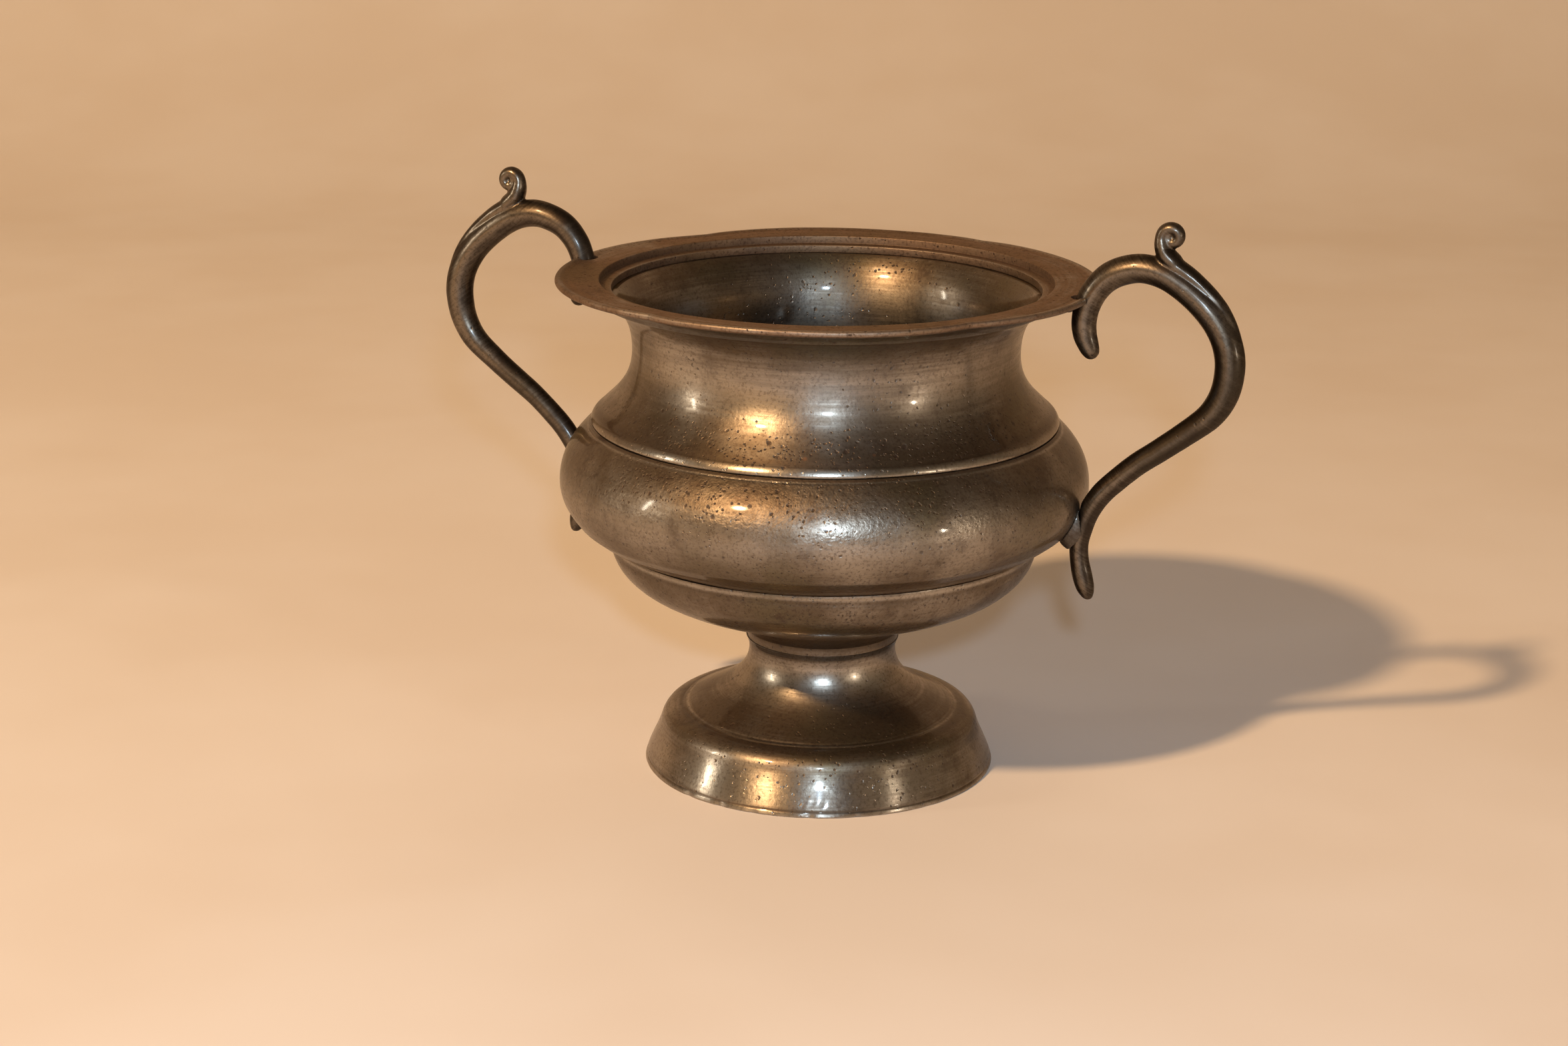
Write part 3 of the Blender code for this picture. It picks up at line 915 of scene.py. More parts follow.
def plain(_place: Vector, _normal: Vector) -> float:
    """No wear, painted highlight, grime, painted shade or pits anywhere."""
    return 0.0


def ringed(marks: Sequence[Mark]) -> Shade:
    """A rule that shades a turned piece by its marks.

    Args:
        marks: the places on its section.

    Returns:
        The rule.
    """

    def shade(place: Vector, _normal: Vector) -> float:
        """The strongest mark at a place."""
        point = (math.hypot(place.x, place.y), place.z)
        return max((mark.share(point) for mark in marks), default=0.0)

    return shade


@dataclass
class Dress:
    """A piece's finish: where it is worn and carries a painted highlight, where it is grimy and carries
    painted shade, and where it is pitted.
    """

    finish: bpy.types.Material
    slot: Slot
    wear_and_highlight: Shade = plain
    grime_and_shade: Shade = plain
    pitted: Shade = plain

    def put_on(self, piece: bpy.types.Object, nodes: Sequence[str]) -> bpy.types.Object:
        """Finishes a piece and fixes it to the frame.

        Args:
            piece: the object.
            nodes: the frame's nodes that it stands for.

        Returns:
            The same object.
        """
        mesh = piece.data
        mesh.materials.clear()
        mesh.materials.append(self.finish)
        mesh.shade_smooth()
        mesh.set_sharp_from_angle(angle=SHARP_ANGLE)
        normals = [vertex.normal.copy() for vertex in mesh.vertices]
        for name, rule in zip(CARRIED, (self.wear_and_highlight, self.grime_and_shade, self.pitted)):
            layer = mesh.attributes.new(name, "FLOAT", "POINT")
            values = [rule(vertex.co, normal) for vertex, normal in zip(mesh.vertices, normals)]
            layer.data.foreach_set("value", values)
        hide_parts(*nodes)
        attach(piece, BODY)
        faces = sum(len(polygon.vertices) - 2 for polygon in mesh.polygons)
        log.info("%s: %d triangles", piece.name, faces)
        return piece


def ringed_dress(
    finish: bpy.types.Material, wear_and_highlight: Sequence[Mark], grime_and_shade: Sequence[Mark], pitted: Sequence[Mark]
) -> Dress:
    """The dress of a turned piece of the body, whose marks all run round it.

    Args:
        finish: its metal.
        wear_and_highlight: where it is worn.
        grime_and_shade: where it is darkened: grime in grooves and joints, and painted shade under the brim
            and under the bowl.
        pitted: where it is pitted.

    Returns:
        The dress.
    """
    return Dress(finish, Slot.BODY, ringed(wear_and_highlight), ringed(grime_and_shade), ringed(pitted))


# Pieces


@dataclass
class Foot:
    """The spun foot: a flared skirt with a thin edge, a rounded shoulder, a dome and a stem."""

    radius: float = 44.5 * MM
    height: float = 33.0 * MM
    band: float = 1.2 * MM
    tuck: float = 0.3 * MM
    lean: float = 4.1 * MM
    skirt_height: float = 10.6 * MM
    dome_radius: float = 34.3 * MM
    dome_height: float = 14.7 * MM
    stem_radius: float = 18.6 * MM
    stem_flare: float = 1.2 * MM
    stem_straight: float = 3.0 * MM
    edge: float = 0.35 * MM
    shift: float = 0.6 * MM
    steps: int = 512

    def lines(self) -> list[Line]:
        """The fine ridge and groove round the dome's edge, and the groove over the base band.

        Returns:
            The worked lines.
        """
        ring = (self.dome_radius, self.dome_height)
        return [
            Line(ring, 0.13 * MM, 0.28 * MM),
            Line((ring[0] - 0.7 * MM, ring[1] + 0.3 * MM), -0.08 * MM, 0.3 * MM),
            Line((ring[0] + 0.7 * MM, ring[1] - 0.05 * MM), -0.06 * MM, 0.3 * MM),
            Line((self.radius - self.tuck, self.band + 0.2 * MM), -0.13 * MM, 0.22 * MM),
        ]

    def outline(self) -> list[Point]:
        """The outside, rising from the resting plane to the stem's top.

        Returns:
            The outline's points.
        """
        base = [
            (self.radius - self.edge, 0.0),
            (self.radius - 0.3 * self.edge, 0.1 * MM),
            (self.radius, self.edge),
        ]
        skirt_top = (self.radius - self.lean, self.skirt_height)
        ring = (self.dome_radius, self.dome_height)
        skirt = bezier(base[-1], (-0.9 * MM, 3.4 * MM), (1.0 * MM, -3.4 * MM), skirt_top)
        shoulder = bezier(skirt_top, (-0.8 * MM, 3.0 * MM), (3.1 * MM, -0.7 * MM), ring)
        waist = (self.stem_radius, self.height - self.stem_straight)
        dome = bezier(ring, (-7.8 * MM, 4.1 * MM), (0.0, -8.0 * MM), waist)
        top = (self.stem_radius + self.stem_flare / 2, self.height - SEAM)
        stem = bezier(waist, (0.0, 1.2 * MM), (-0.3 * MM, -1.0 * MM), top)
        rest = spaced(skirt + shoulder[1:] + dome[1:] + stem[1:], self.lines())
        return base[:-1] + rest

    def build(self, finish: bpy.types.Material) -> None:
        """Makes the foot.

        Args:
            finish: its metal.
        """
        outer = self.outline()
        inside = spaced(inner_wall(outer), step=INSIDE_STEP)
        shape = turned(outer + inside, closed=True, steps=self.steps)
        uneven(shape, 24 * MM, 0.16 * MM, 3.0)
        uneven(shape, 7 * MM, 0.03 * MM, 9.0)
        for dent in self.dents():
            dent.press(shape)
        self.settle_aside(shape)
        wear_and_highlight = [
            Mark((self.radius, self.edge), 0.7 * MM, 1.0),
            Mark((self.radius - self.lean * 0.5, 6.0 * MM), 5.0 * MM, 0.45),
            Mark((self.dome_radius, self.dome_height + 0.1 * MM), 0.35 * MM, 0.4),
            Mark((self.stem_radius + 1.5 * MM, self.height - 8.0 * MM), 5.0 * MM, 0.45),
        ]
        grime_and_shade = [
            Mark((self.dome_radius + 1.6 * MM, self.dome_height - 0.2 * MM), 1.1 * MM, 0.55),
            Mark((self.stem_radius, self.height), 1.6 * MM, 0.9),
            Mark((self.radius - self.tuck, self.band + 0.25 * MM), 0.35 * MM, 0.9),
            Mark((self.dome_radius - 7.0 * MM, self.dome_height + 3.0 * MM), 7.0 * MM, 0.35),
        ]
        pitted = [Mark((self.radius - self.lean, self.skirt_height), 6.0 * MM, 0.25)]
        ringed_dress(finish, wear_and_highlight, grime_and_shade, pitted).put_on(solid("foot", shape), ["foot_pedestal"])

    def settle_aside(self, shape: bmesh.types.BMesh) -> None:
        """Leans the foot a little under the bowl, as it was soldered on.

        Args:
            shape: the shape to change.
        """
        aside = Vector((math.cos(CAMERA_AZIMUTH), math.sin(CAMERA_AZIMUTH), 0.0)) * -self.shift
        top = self.height - 4.0 * MM
        for vert in shape.verts:
            share = min(1.0, max(0.0, (top - vert.co.z) / (top - self.dome_height)))
            vert.co += aside * (share * share * (3.0 - 2.0 * share))

    def dents(self) -> list[Dent]:
        """Nicks along the base edge, and the gouges above it on the front.

        Returns:
            The dents.
        """
        front = math.degrees(CAMERA_AZIMUTH) - 90.0
        nicks = [
            Dent(front + turn, self.radius, self.edge + rise * MM, size * MM, depth * MM, 1.6, slant)
            for turn, rise, size, depth, slant in (
                (-46.0, 0.1, 0.7, 0.22, 8.0),
                (-33.0, 0.2, 0.8, 0.26, -12.0),
                (-21.0, 0.0, 0.6, 0.18, 0.0),
                (-3.0, 0.1, 0.9, 0.25, 20.0),
                (12.0, 0.0, 0.7, 0.2, -8.0),
                (37.0, 0.1, 0.6, 0.18, 0.0),
                (96.0, 0.1, 0.8, 0.25, 10.0),
                (170.0, 0.2, 0.7, 0.2, -15.0),
                (231.0, 0.1, 0.8, 0.22, 5.0),
            )
        ]
        skirt = self.radius - self.tuck - 0.4 * MM
        gouges = [
            Dent(front + turn, skirt, rise * MM, 0.42 * MM, depth * MM, 2.6, slant)
            for turn, rise, depth, slant in (
                (-4.5, 3.6, 0.14, 62.0),
                (-1.5, 3.9, 0.18, 48.0),
                (0.5, 4.1, -0.12, 55.0),
                (2.5, 3.7, 0.18, 60.0),
                (4.5, 4.4, -0.10, 30.0),
                (8.5, 3.9, 0.16, 50.0),
            )
        ]
        return nicks + gouges


@dataclass
class Bowl:
    """The bowl's three spun sections, from the stem to the brim."""

    base: float = 33.0 * MM
    bottom_rise: float = 26.7 * MM
    belly_rise: float = 29.6 * MM
    neck_rise: float = 31.7 * MM
    stem_radius: float = 19.3 * MM
    step_radius: float = 53.8 * MM
    belly_radius: float = 66.2 * MM
    belly_waist: float = 14.5 * MM
    seam_radius: float = 58.2 * MM
    bead_height: float = 2.4 * MM
    bead_depth: float = 0.9 * MM
    neck_radius: float = 48.1 * MM
    neck_waist: float = 18.0 * MM
    neck_flare: float = 56.2 * MM
    floor_thickness: float = 2.2 * MM

    @property
    def step_height(self) -> float:
        """Where the lower bowl meets the belly."""
        return self.base + self.bottom_rise

    @property
    def belly_height(self) -> float:
        """Where the belly is widest."""
        return self.step_height + self.belly_waist

    @property
    def seam_height(self) -> float:
        """Where the belly meets the neck."""
        return self.step_height + self.belly_rise

    @property
    def neck_top(self) -> float:
        """Where the neck meets the brim."""
        return self.seam_height + self.neck_rise

    def bottom_outline(self) -> list[Point]:
        """The outside of the lower bowl, rising from the collar over the stem to the step.

        Returns:
            The outline's points.
        """
        start = (self.stem_radius, self.base)
        collar_top = (self.stem_radius + 0.3 * MM, self.base + 2.0 * MM)
        collar = bezier(start, (0.0, 0.7 * MM), (-0.1 * MM, -0.6 * MM), collar_top)
        end = (self.step_radius, self.step_height - SEAM / 2)
        wall = bezier(collar_top, (9.3 * MM, 8.6 * MM), (-0.2 * MM, -16.0 * MM), end)
        lines = [
            Line((self.step_radius, self.step_height - 0.5 * MM), 0.12 * MM, 0.45 * MM),
            Line((self.step_radius - 0.1 * MM, self.step_height - 2.2 * MM), -0.10 * MM, 0.5 * MM),
        ]
        return spaced(collar, step=FINE_STEP) + spaced(wall, lines)[1:]

    def belly_outline(self) -> list[Point]:
        """The outside of the belly, rising from the step to the seam under the bead.

        Returns:
            The outline's points.
        """
        start = (self.step_radius, self.step_height + SEAM / 2)
        widest = (self.belly_radius, self.belly_height)
        end = (self.seam_radius, self.seam_height - SEAM / 2)
        lower = bezier(start, (3.4 * MM, 1.6 * MM), (0.0, -8.4 * MM), widest)
        upper = bezier(widest, (0.0, 6.8 * MM), (4.3 * MM, -3.6 * MM), end)
        lines = [
            Line((end[0] + 0.9 * MM, end[1] - 0.85 * MM), -0.05 * MM, 0.22 * MM),
            Line((self.step_radius + 1.2 * MM, self.step_height + 0.6 * MM), -0.10 * MM, 0.5 * MM),
            Line((self.step_radius + 8.0 * MM, self.step_height + 5.4 * MM), 0.12 * MM, 1.2 * MM),
        ]
        return spaced(lower + upper[1:], lines)

    def neck_outline(self) -> list[Point]:
        """The outside of the bead, shoulder and neck, rising to the brim.

        Returns:
            The outline's points.
        """
        foot = (self.seam_radius - 0.4 * MM, self.seam_height + SEAM / 2)
        bead_top = (foot[0] - 0.8 * MM, foot[1] + self.bead_height)
        bulge = 1.15 * self.bead_depth
        bead = bezier(foot, (bulge, 0.05 * MM), (bulge, -0.5 * MM), bead_top)
        waist = (self.neck_radius, self.seam_height + self.neck_waist)
        top = (self.neck_flare, self.neck_top - SEAM / 2)
        shoulder = bezier(bead_top, (-2.6 * MM, 2.9 * MM), (0.0, -9.0 * MM), waist)
        upper = bezier(waist, (0.0, 6.2 * MM), (-6.1 * MM, -2.2 * MM), top)
        return spaced(bead, step=FINE_STEP) + spaced(shoulder + upper[1:])[1:]

    def build(self, body: bpy.types.Material, shoulder: bpy.types.Material) -> None:
        """Makes the three sections.

        Args:
            body: the metal of the lower bowl and the belly.
            shoulder: the metal of the neck, which is the most pitted.
        """
        self.build_bottom(body)
        self.build_belly(body)
        self.build_neck(shoulder)

    def build_bottom(self, finish: bpy.types.Material) -> None:
        """Makes the lower bowl, whose flat floor closes it over the stem.

        Args:
            finish: its metal.
        """
        outer = self.bottom_outline()
        floor = self.base + self.floor_thickness
        inside = spaced(end_at(inner_wall(outer), floor), step=INSIDE_STEP)
        centre = [(1.6 * MM, floor), (0.8 * MM, floor - 0.5 * MM), (0.0, floor - 0.5 * MM)]
        flat = spaced([inside[-1], centre[0]], step=2.0 * MM)
        shape = turned([(0.0, self.base), *outer, *inside[:-1], *flat[:-1], *centre], closed=False)
        uneven(shape, 30 * MM, 0.20 * MM, 5.0)
        uneven(shape, 8 * MM, 0.03 * MM, 2.0)
        wear_and_highlight = [
            Mark((self.step_radius, self.step_height - 0.9 * MM), 0.5 * MM, 0.6),
            Mark((self.stem_radius + 0.9 * MM, self.base + 0.8 * MM), 0.7 * MM, 0.7),
        ]
        # Grime round the collar and in the step's groove, and painted shade broadly over the underside beside
        # the stem.
        grime_and_shade = [
            Mark((self.stem_radius + 2.0 * MM, self.base + 2.4 * MM), 2.0 * MM, 0.8),
            Mark((self.step_radius, self.step_height - 2.2 * MM), 0.8 * MM, 0.2),
            Mark((self.stem_radius + 6.0 * MM, self.base + 5.0 * MM), 5.0 * MM, 0.5),
        ]
        pitted = [Mark((self.step_radius - 6.0 * MM, self.step_height - 9.0 * MM), 8.0 * MM, 0.30)]
        ringed_dress(finish, wear_and_highlight, grime_and_shade, pitted).put_on(solid("lower_bowl", shape), ["bowl_bottom"])

    def build_belly(self, finish: bpy.types.Material) -> None:
        """Makes the belly.

        Args:
            finish: its metal.
        """
        outer = self.belly_outline()
        inside = spaced(inner_wall(outer), step=INSIDE_STEP)
        shape = turned(outer + inside, closed=True)
        uneven(shape, 34 * MM, 0.28 * MM, 7.0)
        uneven(shape, 9 * MM, 0.04 * MM, 4.0)
        front = math.degrees(CAMERA_AZIMUTH) - 90.0
        for turn, rise, size, depth in (
            (-38.0, -4.0, 1.6, 0.10),
            (24.0, -9.0, 2.2, 0.12),
            (140.0, 2.0, 2.6, 0.15),
        ):
            height = self.belly_height + rise * MM
            Dent(front + turn, self.belly_radius - 1.0 * MM, height, size * MM, depth * MM).press(shape)
        wear_and_highlight = [
            Mark((self.belly_radius, self.belly_height), 6.0 * MM, 0.30),
            Mark((self.seam_radius + 0.8 * MM, self.seam_height - 0.8 * MM), 0.4 * MM, 0.45),
        ]
        grime_and_shade = [
            Mark((self.step_radius + 1.0 * MM, self.step_height + 0.6 * MM), 1.8 * MM, 0.75),
            Mark((self.step_radius + 5.0 * MM, self.step_height + 3.5 * MM), 4.0 * MM, 0.35),
            Mark((self.seam_radius + 0.3 * MM, self.seam_height - 0.3 * MM), 0.35 * MM, 0.8),
        ]
        pitted = [
            Mark((self.seam_radius + 4.0 * MM, self.seam_height - 5.0 * MM), 6.0 * MM, 0.25),
            Mark((self.step_radius + 5.0 * MM, self.step_height + 7.0 * MM), 7.0 * MM, 0.20),
        ]
        ringed_dress(finish, wear_and_highlight, grime_and_shade, pitted).put_on(solid("belly", shape), ["belly_section"])

    def build_neck(self, finish: bpy.types.Material) -> None:
        """Makes the bead, shoulder and neck.

        Args:
            finish: its metal.
        """
        outer = self.neck_outline()
        inside = spaced(inner_wall(outer), step=INSIDE_STEP)
        shape = turned(outer + inside, closed=True)
        uneven(shape, 30 * MM, 0.22 * MM, 11.0)
        uneven(shape, 8 * MM, 0.03 * MM, 6.0)
        back = math.degrees(CAMERA_AZIMUTH) + 90.0
        blister = self.seam_height + 16.7 * MM
        Dent(back + 14.0, self.neck_radius - WALL, blister, 1.3 * MM, -0.35 * MM).press(shape)
        bead = (self.seam_radius + 0.3 * MM, self.seam_height + 0.45 * self.bead_height)
        over_bead = (self.seam_radius - 1.6 * MM, self.seam_height + self.bead_height + 0.7 * MM)
        wear_and_highlight = [
            Mark(bead, 1.1 * MM, 0.9),
            Mark((self.neck_radius, self.seam_height + self.neck_waist), 8.0 * MM, 0.45),
        ]
        # Painted shade on the neck's top, under the brim; grime in the hollow over the bead.
        grime_and_shade = [
            Mark((self.neck_flare, self.neck_top), 2.2 * MM, 0.9),
            Mark(over_bead, 1.0 * MM, 0.5),
        ]
        pitted = [
            Mark((self.seam_radius - 4.0 * MM, self.seam_height + 6.0 * MM), 4.5 * MM, 0.95),
            Mark((self.neck_radius + 3.0 * MM, self.neck_top - 6.0 * MM), 4.0 * MM, 0.20),
        ]
        ringed_dress(finish, wear_and_highlight, grime_and_shade, pitted).put_on(solid("neck", shape), ["neck_section"])

    def belly_core(self, clearance: float) -> bmesh.types.BMesh:
        """A solid of the belly's outside, grown by a clearance, which cuts what is soldered to it.

        Args:
            clearance: how much it grows.

        Returns:
            The shape.
        """
        outer = offset(spaced(self.belly_outline(), step=1.5 * MM), -clearance)
        column = [(0.0, outer[0][1]), *outer, (0.0, outer[-1][1])]
        return turned(column, closed=False, steps=128)


@dataclass
class Brim:
    """The flat cast brim with its lobed edge, a lid seat and a thin raised lip."""

    top: float = 125.0 * MM
    thickness: float = 4.0 * MM
    edge: float = 1.2 * MM
    cusp_radius: float = 64.8 * MM
    ear_bulge: float = 2.0 * MM
    side_bulge: float = 2.4 * MM
    ear_spread: float = math.radians(55.5)
    turn: float = math.radians(15.5)
    mouth_radius: float = 53.0 * MM
    neck_flare: float = 56.2 * MM
    seat_width: float = 3.0 * MM
    seat_depth: float = 2.0 * MM
    lip_height: float = 0.35 * MM
    lip_width: float = 1.1 * MM
    warp: float = 0.45 * MM
    front_rise: float = 1.1 * MM
    rounding: float = 0.22 * MM

    @property
    def radius(self) -> float:
        """The largest radius of its edge."""
        return self.cusp_radius + self.ear_bulge

    def section(self) -> list[Point]:
        """The closed section: flat top, lip, edge, underside, mouth and lid seat.

        Returns:
            The section's points.
        """
        under = self.top - self.edge
        low = self.top - self.thickness + SEAM / 2
        seat = self.top - self.seat_depth
        ledge = self.mouth_radius + self.seat_width
        line = self.radius - 3.2 * self.lip_width
        top = [(ledge + (line - ledge) * share / 4, self.top) for share in range(5)]
        return top + [
            (line + 0.35 * self.lip_width, self.top - 0.12 * MM),
            (line + 0.8 * self.lip_width, self.top - 0.02 * MM),
            (self.radius - 1.8 * self.lip_width, self.top),
            (self.radius - 1.2 * self.lip_width, self.top + self.lip_height),
            (self.radius - 0.35 * self.lip_width, self.top + self.lip_height),
            (self.radius, self.top - 0.1 * MM),
            (self.radius, under + 0.35 * MM),
            (self.radius - 0.4 * MM, under),
            (self.radius - 3.0 * MM, under - 0.1 * MM),
            (self.neck_flare + 3.0 * MM, under - 0.2 * MM),
            (self.neck_flare + 1.6 * MM, under - 0.6 * MM),
            (self.neck_flare + 0.6 * MM, under - 1.5 * MM),
            (self.neck_flare, low),
            (self.mouth_radius, low),
            (self.mouth_radius, seat),
            (self.mouth_radius + 0.45 * self.seat_width, seat - 0.08 * MM),
            (ledge, seat),
        ]

    def edge_radius(self, angle: float) -> float:
        """The radius of the edge at an angle: two ears and two side lobes that meet in soft cusps.

        Args:
            angle: the angle round the axis, from +X.

        Returns:
            The radius.
        """
        quarter = math.pi / 2
        from_ear = abs((angle - self.turn + quarter) % math.pi - quarter)
        if from_ear < self.ear_spread:
            across = from_ear / self.ear_spread
            bulge = self.ear_bulge
        else:
            across = (quarter - from_ear) / (quarter - self.ear_spread)
            bulge = self.side_bulge
        return self.cusp_radius + bulge * (1.0 - across**4)

    def build(self, finish: bpy.types.Material, notches: Sequence[bmesh.types.BMesh]) -> None:
        """Makes the brim.

        Args:
            finish: its metal.
            notches: the shapes that make room for the handles' tails.
        """
        shape = turned(self.section(), closed=True)
        arrises = [edge for edge in shape.edges if edge.calc_face_angle(0.0) > ARRIS_ANGLE]
        bmesh.ops.bevel(
            shape,
            geom=arrises,
            offset=self.rounding,
            segments=3,
            profile=0.5,
            affect="EDGES",
            material=-1,
            clamp_overlap=True,
        )
        settle(shape)
        self.lobe(shape)
        uneven(shape, 12 * MM, 0.05 * MM, 8.0)
        brim = solid("brim_plate", shape)
        cut(brim, notches)
        dress = Dress(finish, Slot.BRIM, self.wear_and_highlight, self.grime_and_shade, plain)
        dress.put_on(brim, ["brim"])

    def lobe(self, shape: bmesh.types.BMesh) -> None:
        """Draws the round plate out to its lobed, slightly warped edge.

        Args:
            shape: the shape to change.
        """
        for vert in shape.verts:
            radius = math.hypot(vert.co.x, vert.co.y)
            angle = math.atan2(vert.co.y, vert.co.x)
            share = max(0.0, (radius - self.neck_flare) / (self.radius - self.neck_flare))
            wave = math.sin(2 * angle + 0.7) + 0.6 * math.sin(3 * angle + 2.1) + 0.4 * math.sin(7 * angle)
            facing = max(0.0, -math.cos(angle - CAMERA_AZIMUTH - math.pi / 2))
            vert.co.z += share * (self.warp * 0.5 * wave + self.front_rise * facing**2)
            if radius > self.neck_flare + 1.3 * MM:
                wanted = radius + share * (self.edge_radius(angle) - self.radius)
                vert.co.x *= wanted / radius
                vert.co.y *= wanted / radius

    def wear_and_highlight(self, place: Vector, normal: Vector) -> float:
        """Bright on the lip, on the lower arris of the edge and on the lid seat's corner.

        Args:
            place: a point of the surface.
            normal: the way it faces there.

        Returns:
            How worn it is, from 0 to 1.
        """
        radius = math.hypot(place.x, place.y)
        past = radius - self.edge_radius(math.atan2(place.y, place.x))
        arris = lip = corner = 0.0
        if past > -1.0 * MM:
            arris = fade(place.z - self.top + self.edge - 0.3 * MM, 0.45 * MM)
        if normal.z > 0.2:
            lip = 0.45 * fade(past + 0.8 * self.lip_width, 0.7 * MM)
            corner = 0.5 * fade(radius - self.mouth_radius, 0.5 * MM)
        return max(arris, lip, corner)

    def grime_and_shade(self, place: Vector, normal: Vector) -> float:
        """Painted shade under the plate, where it faces down, and darker in the lid seat's inner corner.

        Args:
            place: a point of the surface.
            normal: the way it faces there.

        Returns:
            How grimy it is, from 0 to 1.
        """
        # Painted shade: every face of the plate that looks down is darkened.
        under = 0.5 if normal.z < -0.4 else 0.0
        if place.z >= self.top - 0.5 * MM:
            return under
        ledge = self.mouth_radius + self.seat_width
        return max(under, 0.8 * fade(math.hypot(place.x, place.y) - ledge, 0.6 * MM))


@dataclass
class Handles:
    """The two cast scroll handles: a ridged bar with two free tails, a strand up its back and a volute."""

    bowl: Bowl
    brim: Brim
    spread: float = 42.3 * MM
    notch: float = 4.4 * MM
    thickness: float = 7.4 * MM
    tail: float = 6.2 * MM
    swell: float = 1.06
    flatness: float = 0.92
    ridge: float = 1.72
    volute_radius: float = 4.0 * MM
    curl_turn: float = math.radians(430)
    curl_steps: int = 12
    volute_width: float = 4.8 * MM
    volute_rise: float = 17.3 * MM
    volute_place: float = 0.567
    strand: float = 4.2 * MM
    strand_sink: float = 1.8 * MM
    strand_climb: float = 1.5 * MM
    strand_start: float = 0.520
    strand_end: float = 0.335
    right_lift: float = -1.0 * MM
    left_lift: float = 1.0 * MM
    sides: int = 32
    steps: int = 8
    grain: float = 0.26 * MM

    @property
    def seat_radius(self) -> float:
        """How far from the axis the upper tail's inner face is."""
        return self.brim.radius - self.notch

    @property
    def reach(self) -> float:
        """How far from the axis the middle of the bar goes."""
        return self.seat_radius + self.spread - self.thickness / 2

    def bar(self) -> list[Station]:
        """Stations down the bar, from the upper tail's tip to the lower tail's.

        Returns:
            The stations, as x, z and thickness.
        """
        top = Vector((self.seat_radius + self.tail / 2, self.brim.top))
        low = Vector((self.bowl.belly_radius, self.bowl.belly_height))
        upper_tail = [
            (2.5, -13.5, 0.20),
            (2.3, -12.9, 0.52),
            (1.9, -11.7, 0.74),
            (1.1, -9.8, 0.88),
            (0.3, -7.6, 0.96),
            (0.0, -4.5, 1.0),
            (0.6, -0.8, 1.02),
            (2.4, 3.2, self.swell),
            (5.6, 6.7, 1.11),
            (9.9, 8.7, 1.13),
        ]
        scroll = [
            (0.39, 1.183, 0.96),
            (0.54, 1.160, 0.97),
            (0.70, 1.095, 0.98),
            (0.85, 1.005, 1.0),
            (0.95, 0.905, 1.0),
            (1.0, 0.797, 1.0),
            (0.998, 0.690, 0.98),
            (0.958, 0.593, 0.94),
            (0.873, 0.504, 0.88),
            (0.717, 0.412, 0.81),
            (0.547, 0.323, 0.77),
            (0.40, 0.248, 0.76),
        ]
        lower_tail = [
            (9.3, 8.4, 0.90),
            (5.3, 4.2, 0.90),
            (2.3, -0.6, 0.87),
            (0.8, -5.2, 0.82),
            (0.1, -9.2, 0.77),
            (0.4, -13.2, 0.78),
            (1.2, -16.7, 0.83),
            (2.0, -19.6, 0.78),
            (2.6, -21.4, 0.60),
            (3.0, -22.6, 0.36),
            (3.1, -23.0, 0.12),
        ]
        keys = [(top.x + x * MM, top.y + z * MM, share * self.tail) for x, z, share in upper_tail]
        for across, up, share in scroll:
            x = low.x + across * (self.reach - low.x)
            z = low.y + up * (self.brim.top - low.y)
            keys.append((x, z, share * self.thickness))
        keys += [(low.x + x * MM, low.y + z * MM, share * self.tail) for x, z, share in lower_tail]
        return through(keys, self.steps)

    def volute_centre(self) -> Vector:
        """The middle of the volute's eye, above the arch."""
        across = self.bowl.belly_radius + self.volute_place * (self.reach - self.bowl.belly_radius)
        return Vector((across, self.brim.top + self.volute_rise))

    def strand_line(self, bar: Sequence[Station]) -> list[Station]:
        """Stations of the strand, which climbs the bar's back and curls over into the volute's eye.

        Args:
            bar: the bar's stations.

        Returns:
            The strand's stations.
        """
        first = round(self.strand_start * (len(bar) - 1))
        last = round(self.strand_end * (len(bar) - 1))
        keys = []
        for index in range(first, last - 1, -4):
            share = (first - index) / (first - last)
            before, after = Vector(bar[index - 1][:2]), Vector(bar[index + 1][:2])
            along = (after - before).normalized()
            outwards = Vector((-along.y, along.x))
            lift = bar[index][2] / 2 + share * self.strand_climb - self.strand_sink
            middle = Vector(bar[index][:2]) + outwards * lift
            keys.append((middle.x, middle.y, self.strand * (0.30 + 0.75 * share)))
        centre, radius = self.volute_centre(), self.volute_radius
        for x, z, share in ((0.16, -1.46, 1.06), (-0.30, -1.06, 1.10), (-0.55, -0.54, 0.96)):
            keys.append((centre.x + x * radius, centre.y + z * radius, share * self.strand))
        for step in range(self.curl_steps + 1):
            share = step / self.curl_steps
            turn = math.pi - share * self.curl_turn
            out = radius * (0.61 - 0.43 * share)
            size = self.strand * (0.78 - 0.24 * share)
            keys.append((centre.x + out * math.cos(turn), centre.y + out * math.sin(turn), size))
        return through(keys, 4)

    def parts(self) -> list[bmesh.types.BMesh]:
        """The shapes that are cast on to the bar.

        Returns:
            The strand and the volute's web.
        """
        centre, radius = self.volute_centre(), 0.55 * self.volute_radius
        web = bmesh.new()
        bmesh.ops.create_cone(
            web,
            cap_ends=True,
            segments=48,
            radius1=radius,
            radius2=radius,
            depth=self.volute_width * 0.28,
            matrix=Matrix.Translation((centre.x, 0.0, centre.y)) @ Matrix.Rotation(math.pi / 2, 4, "X"),
        )
        return [swept(self.strand_line(self.bar()), 1.22, 1.9, 20), web]

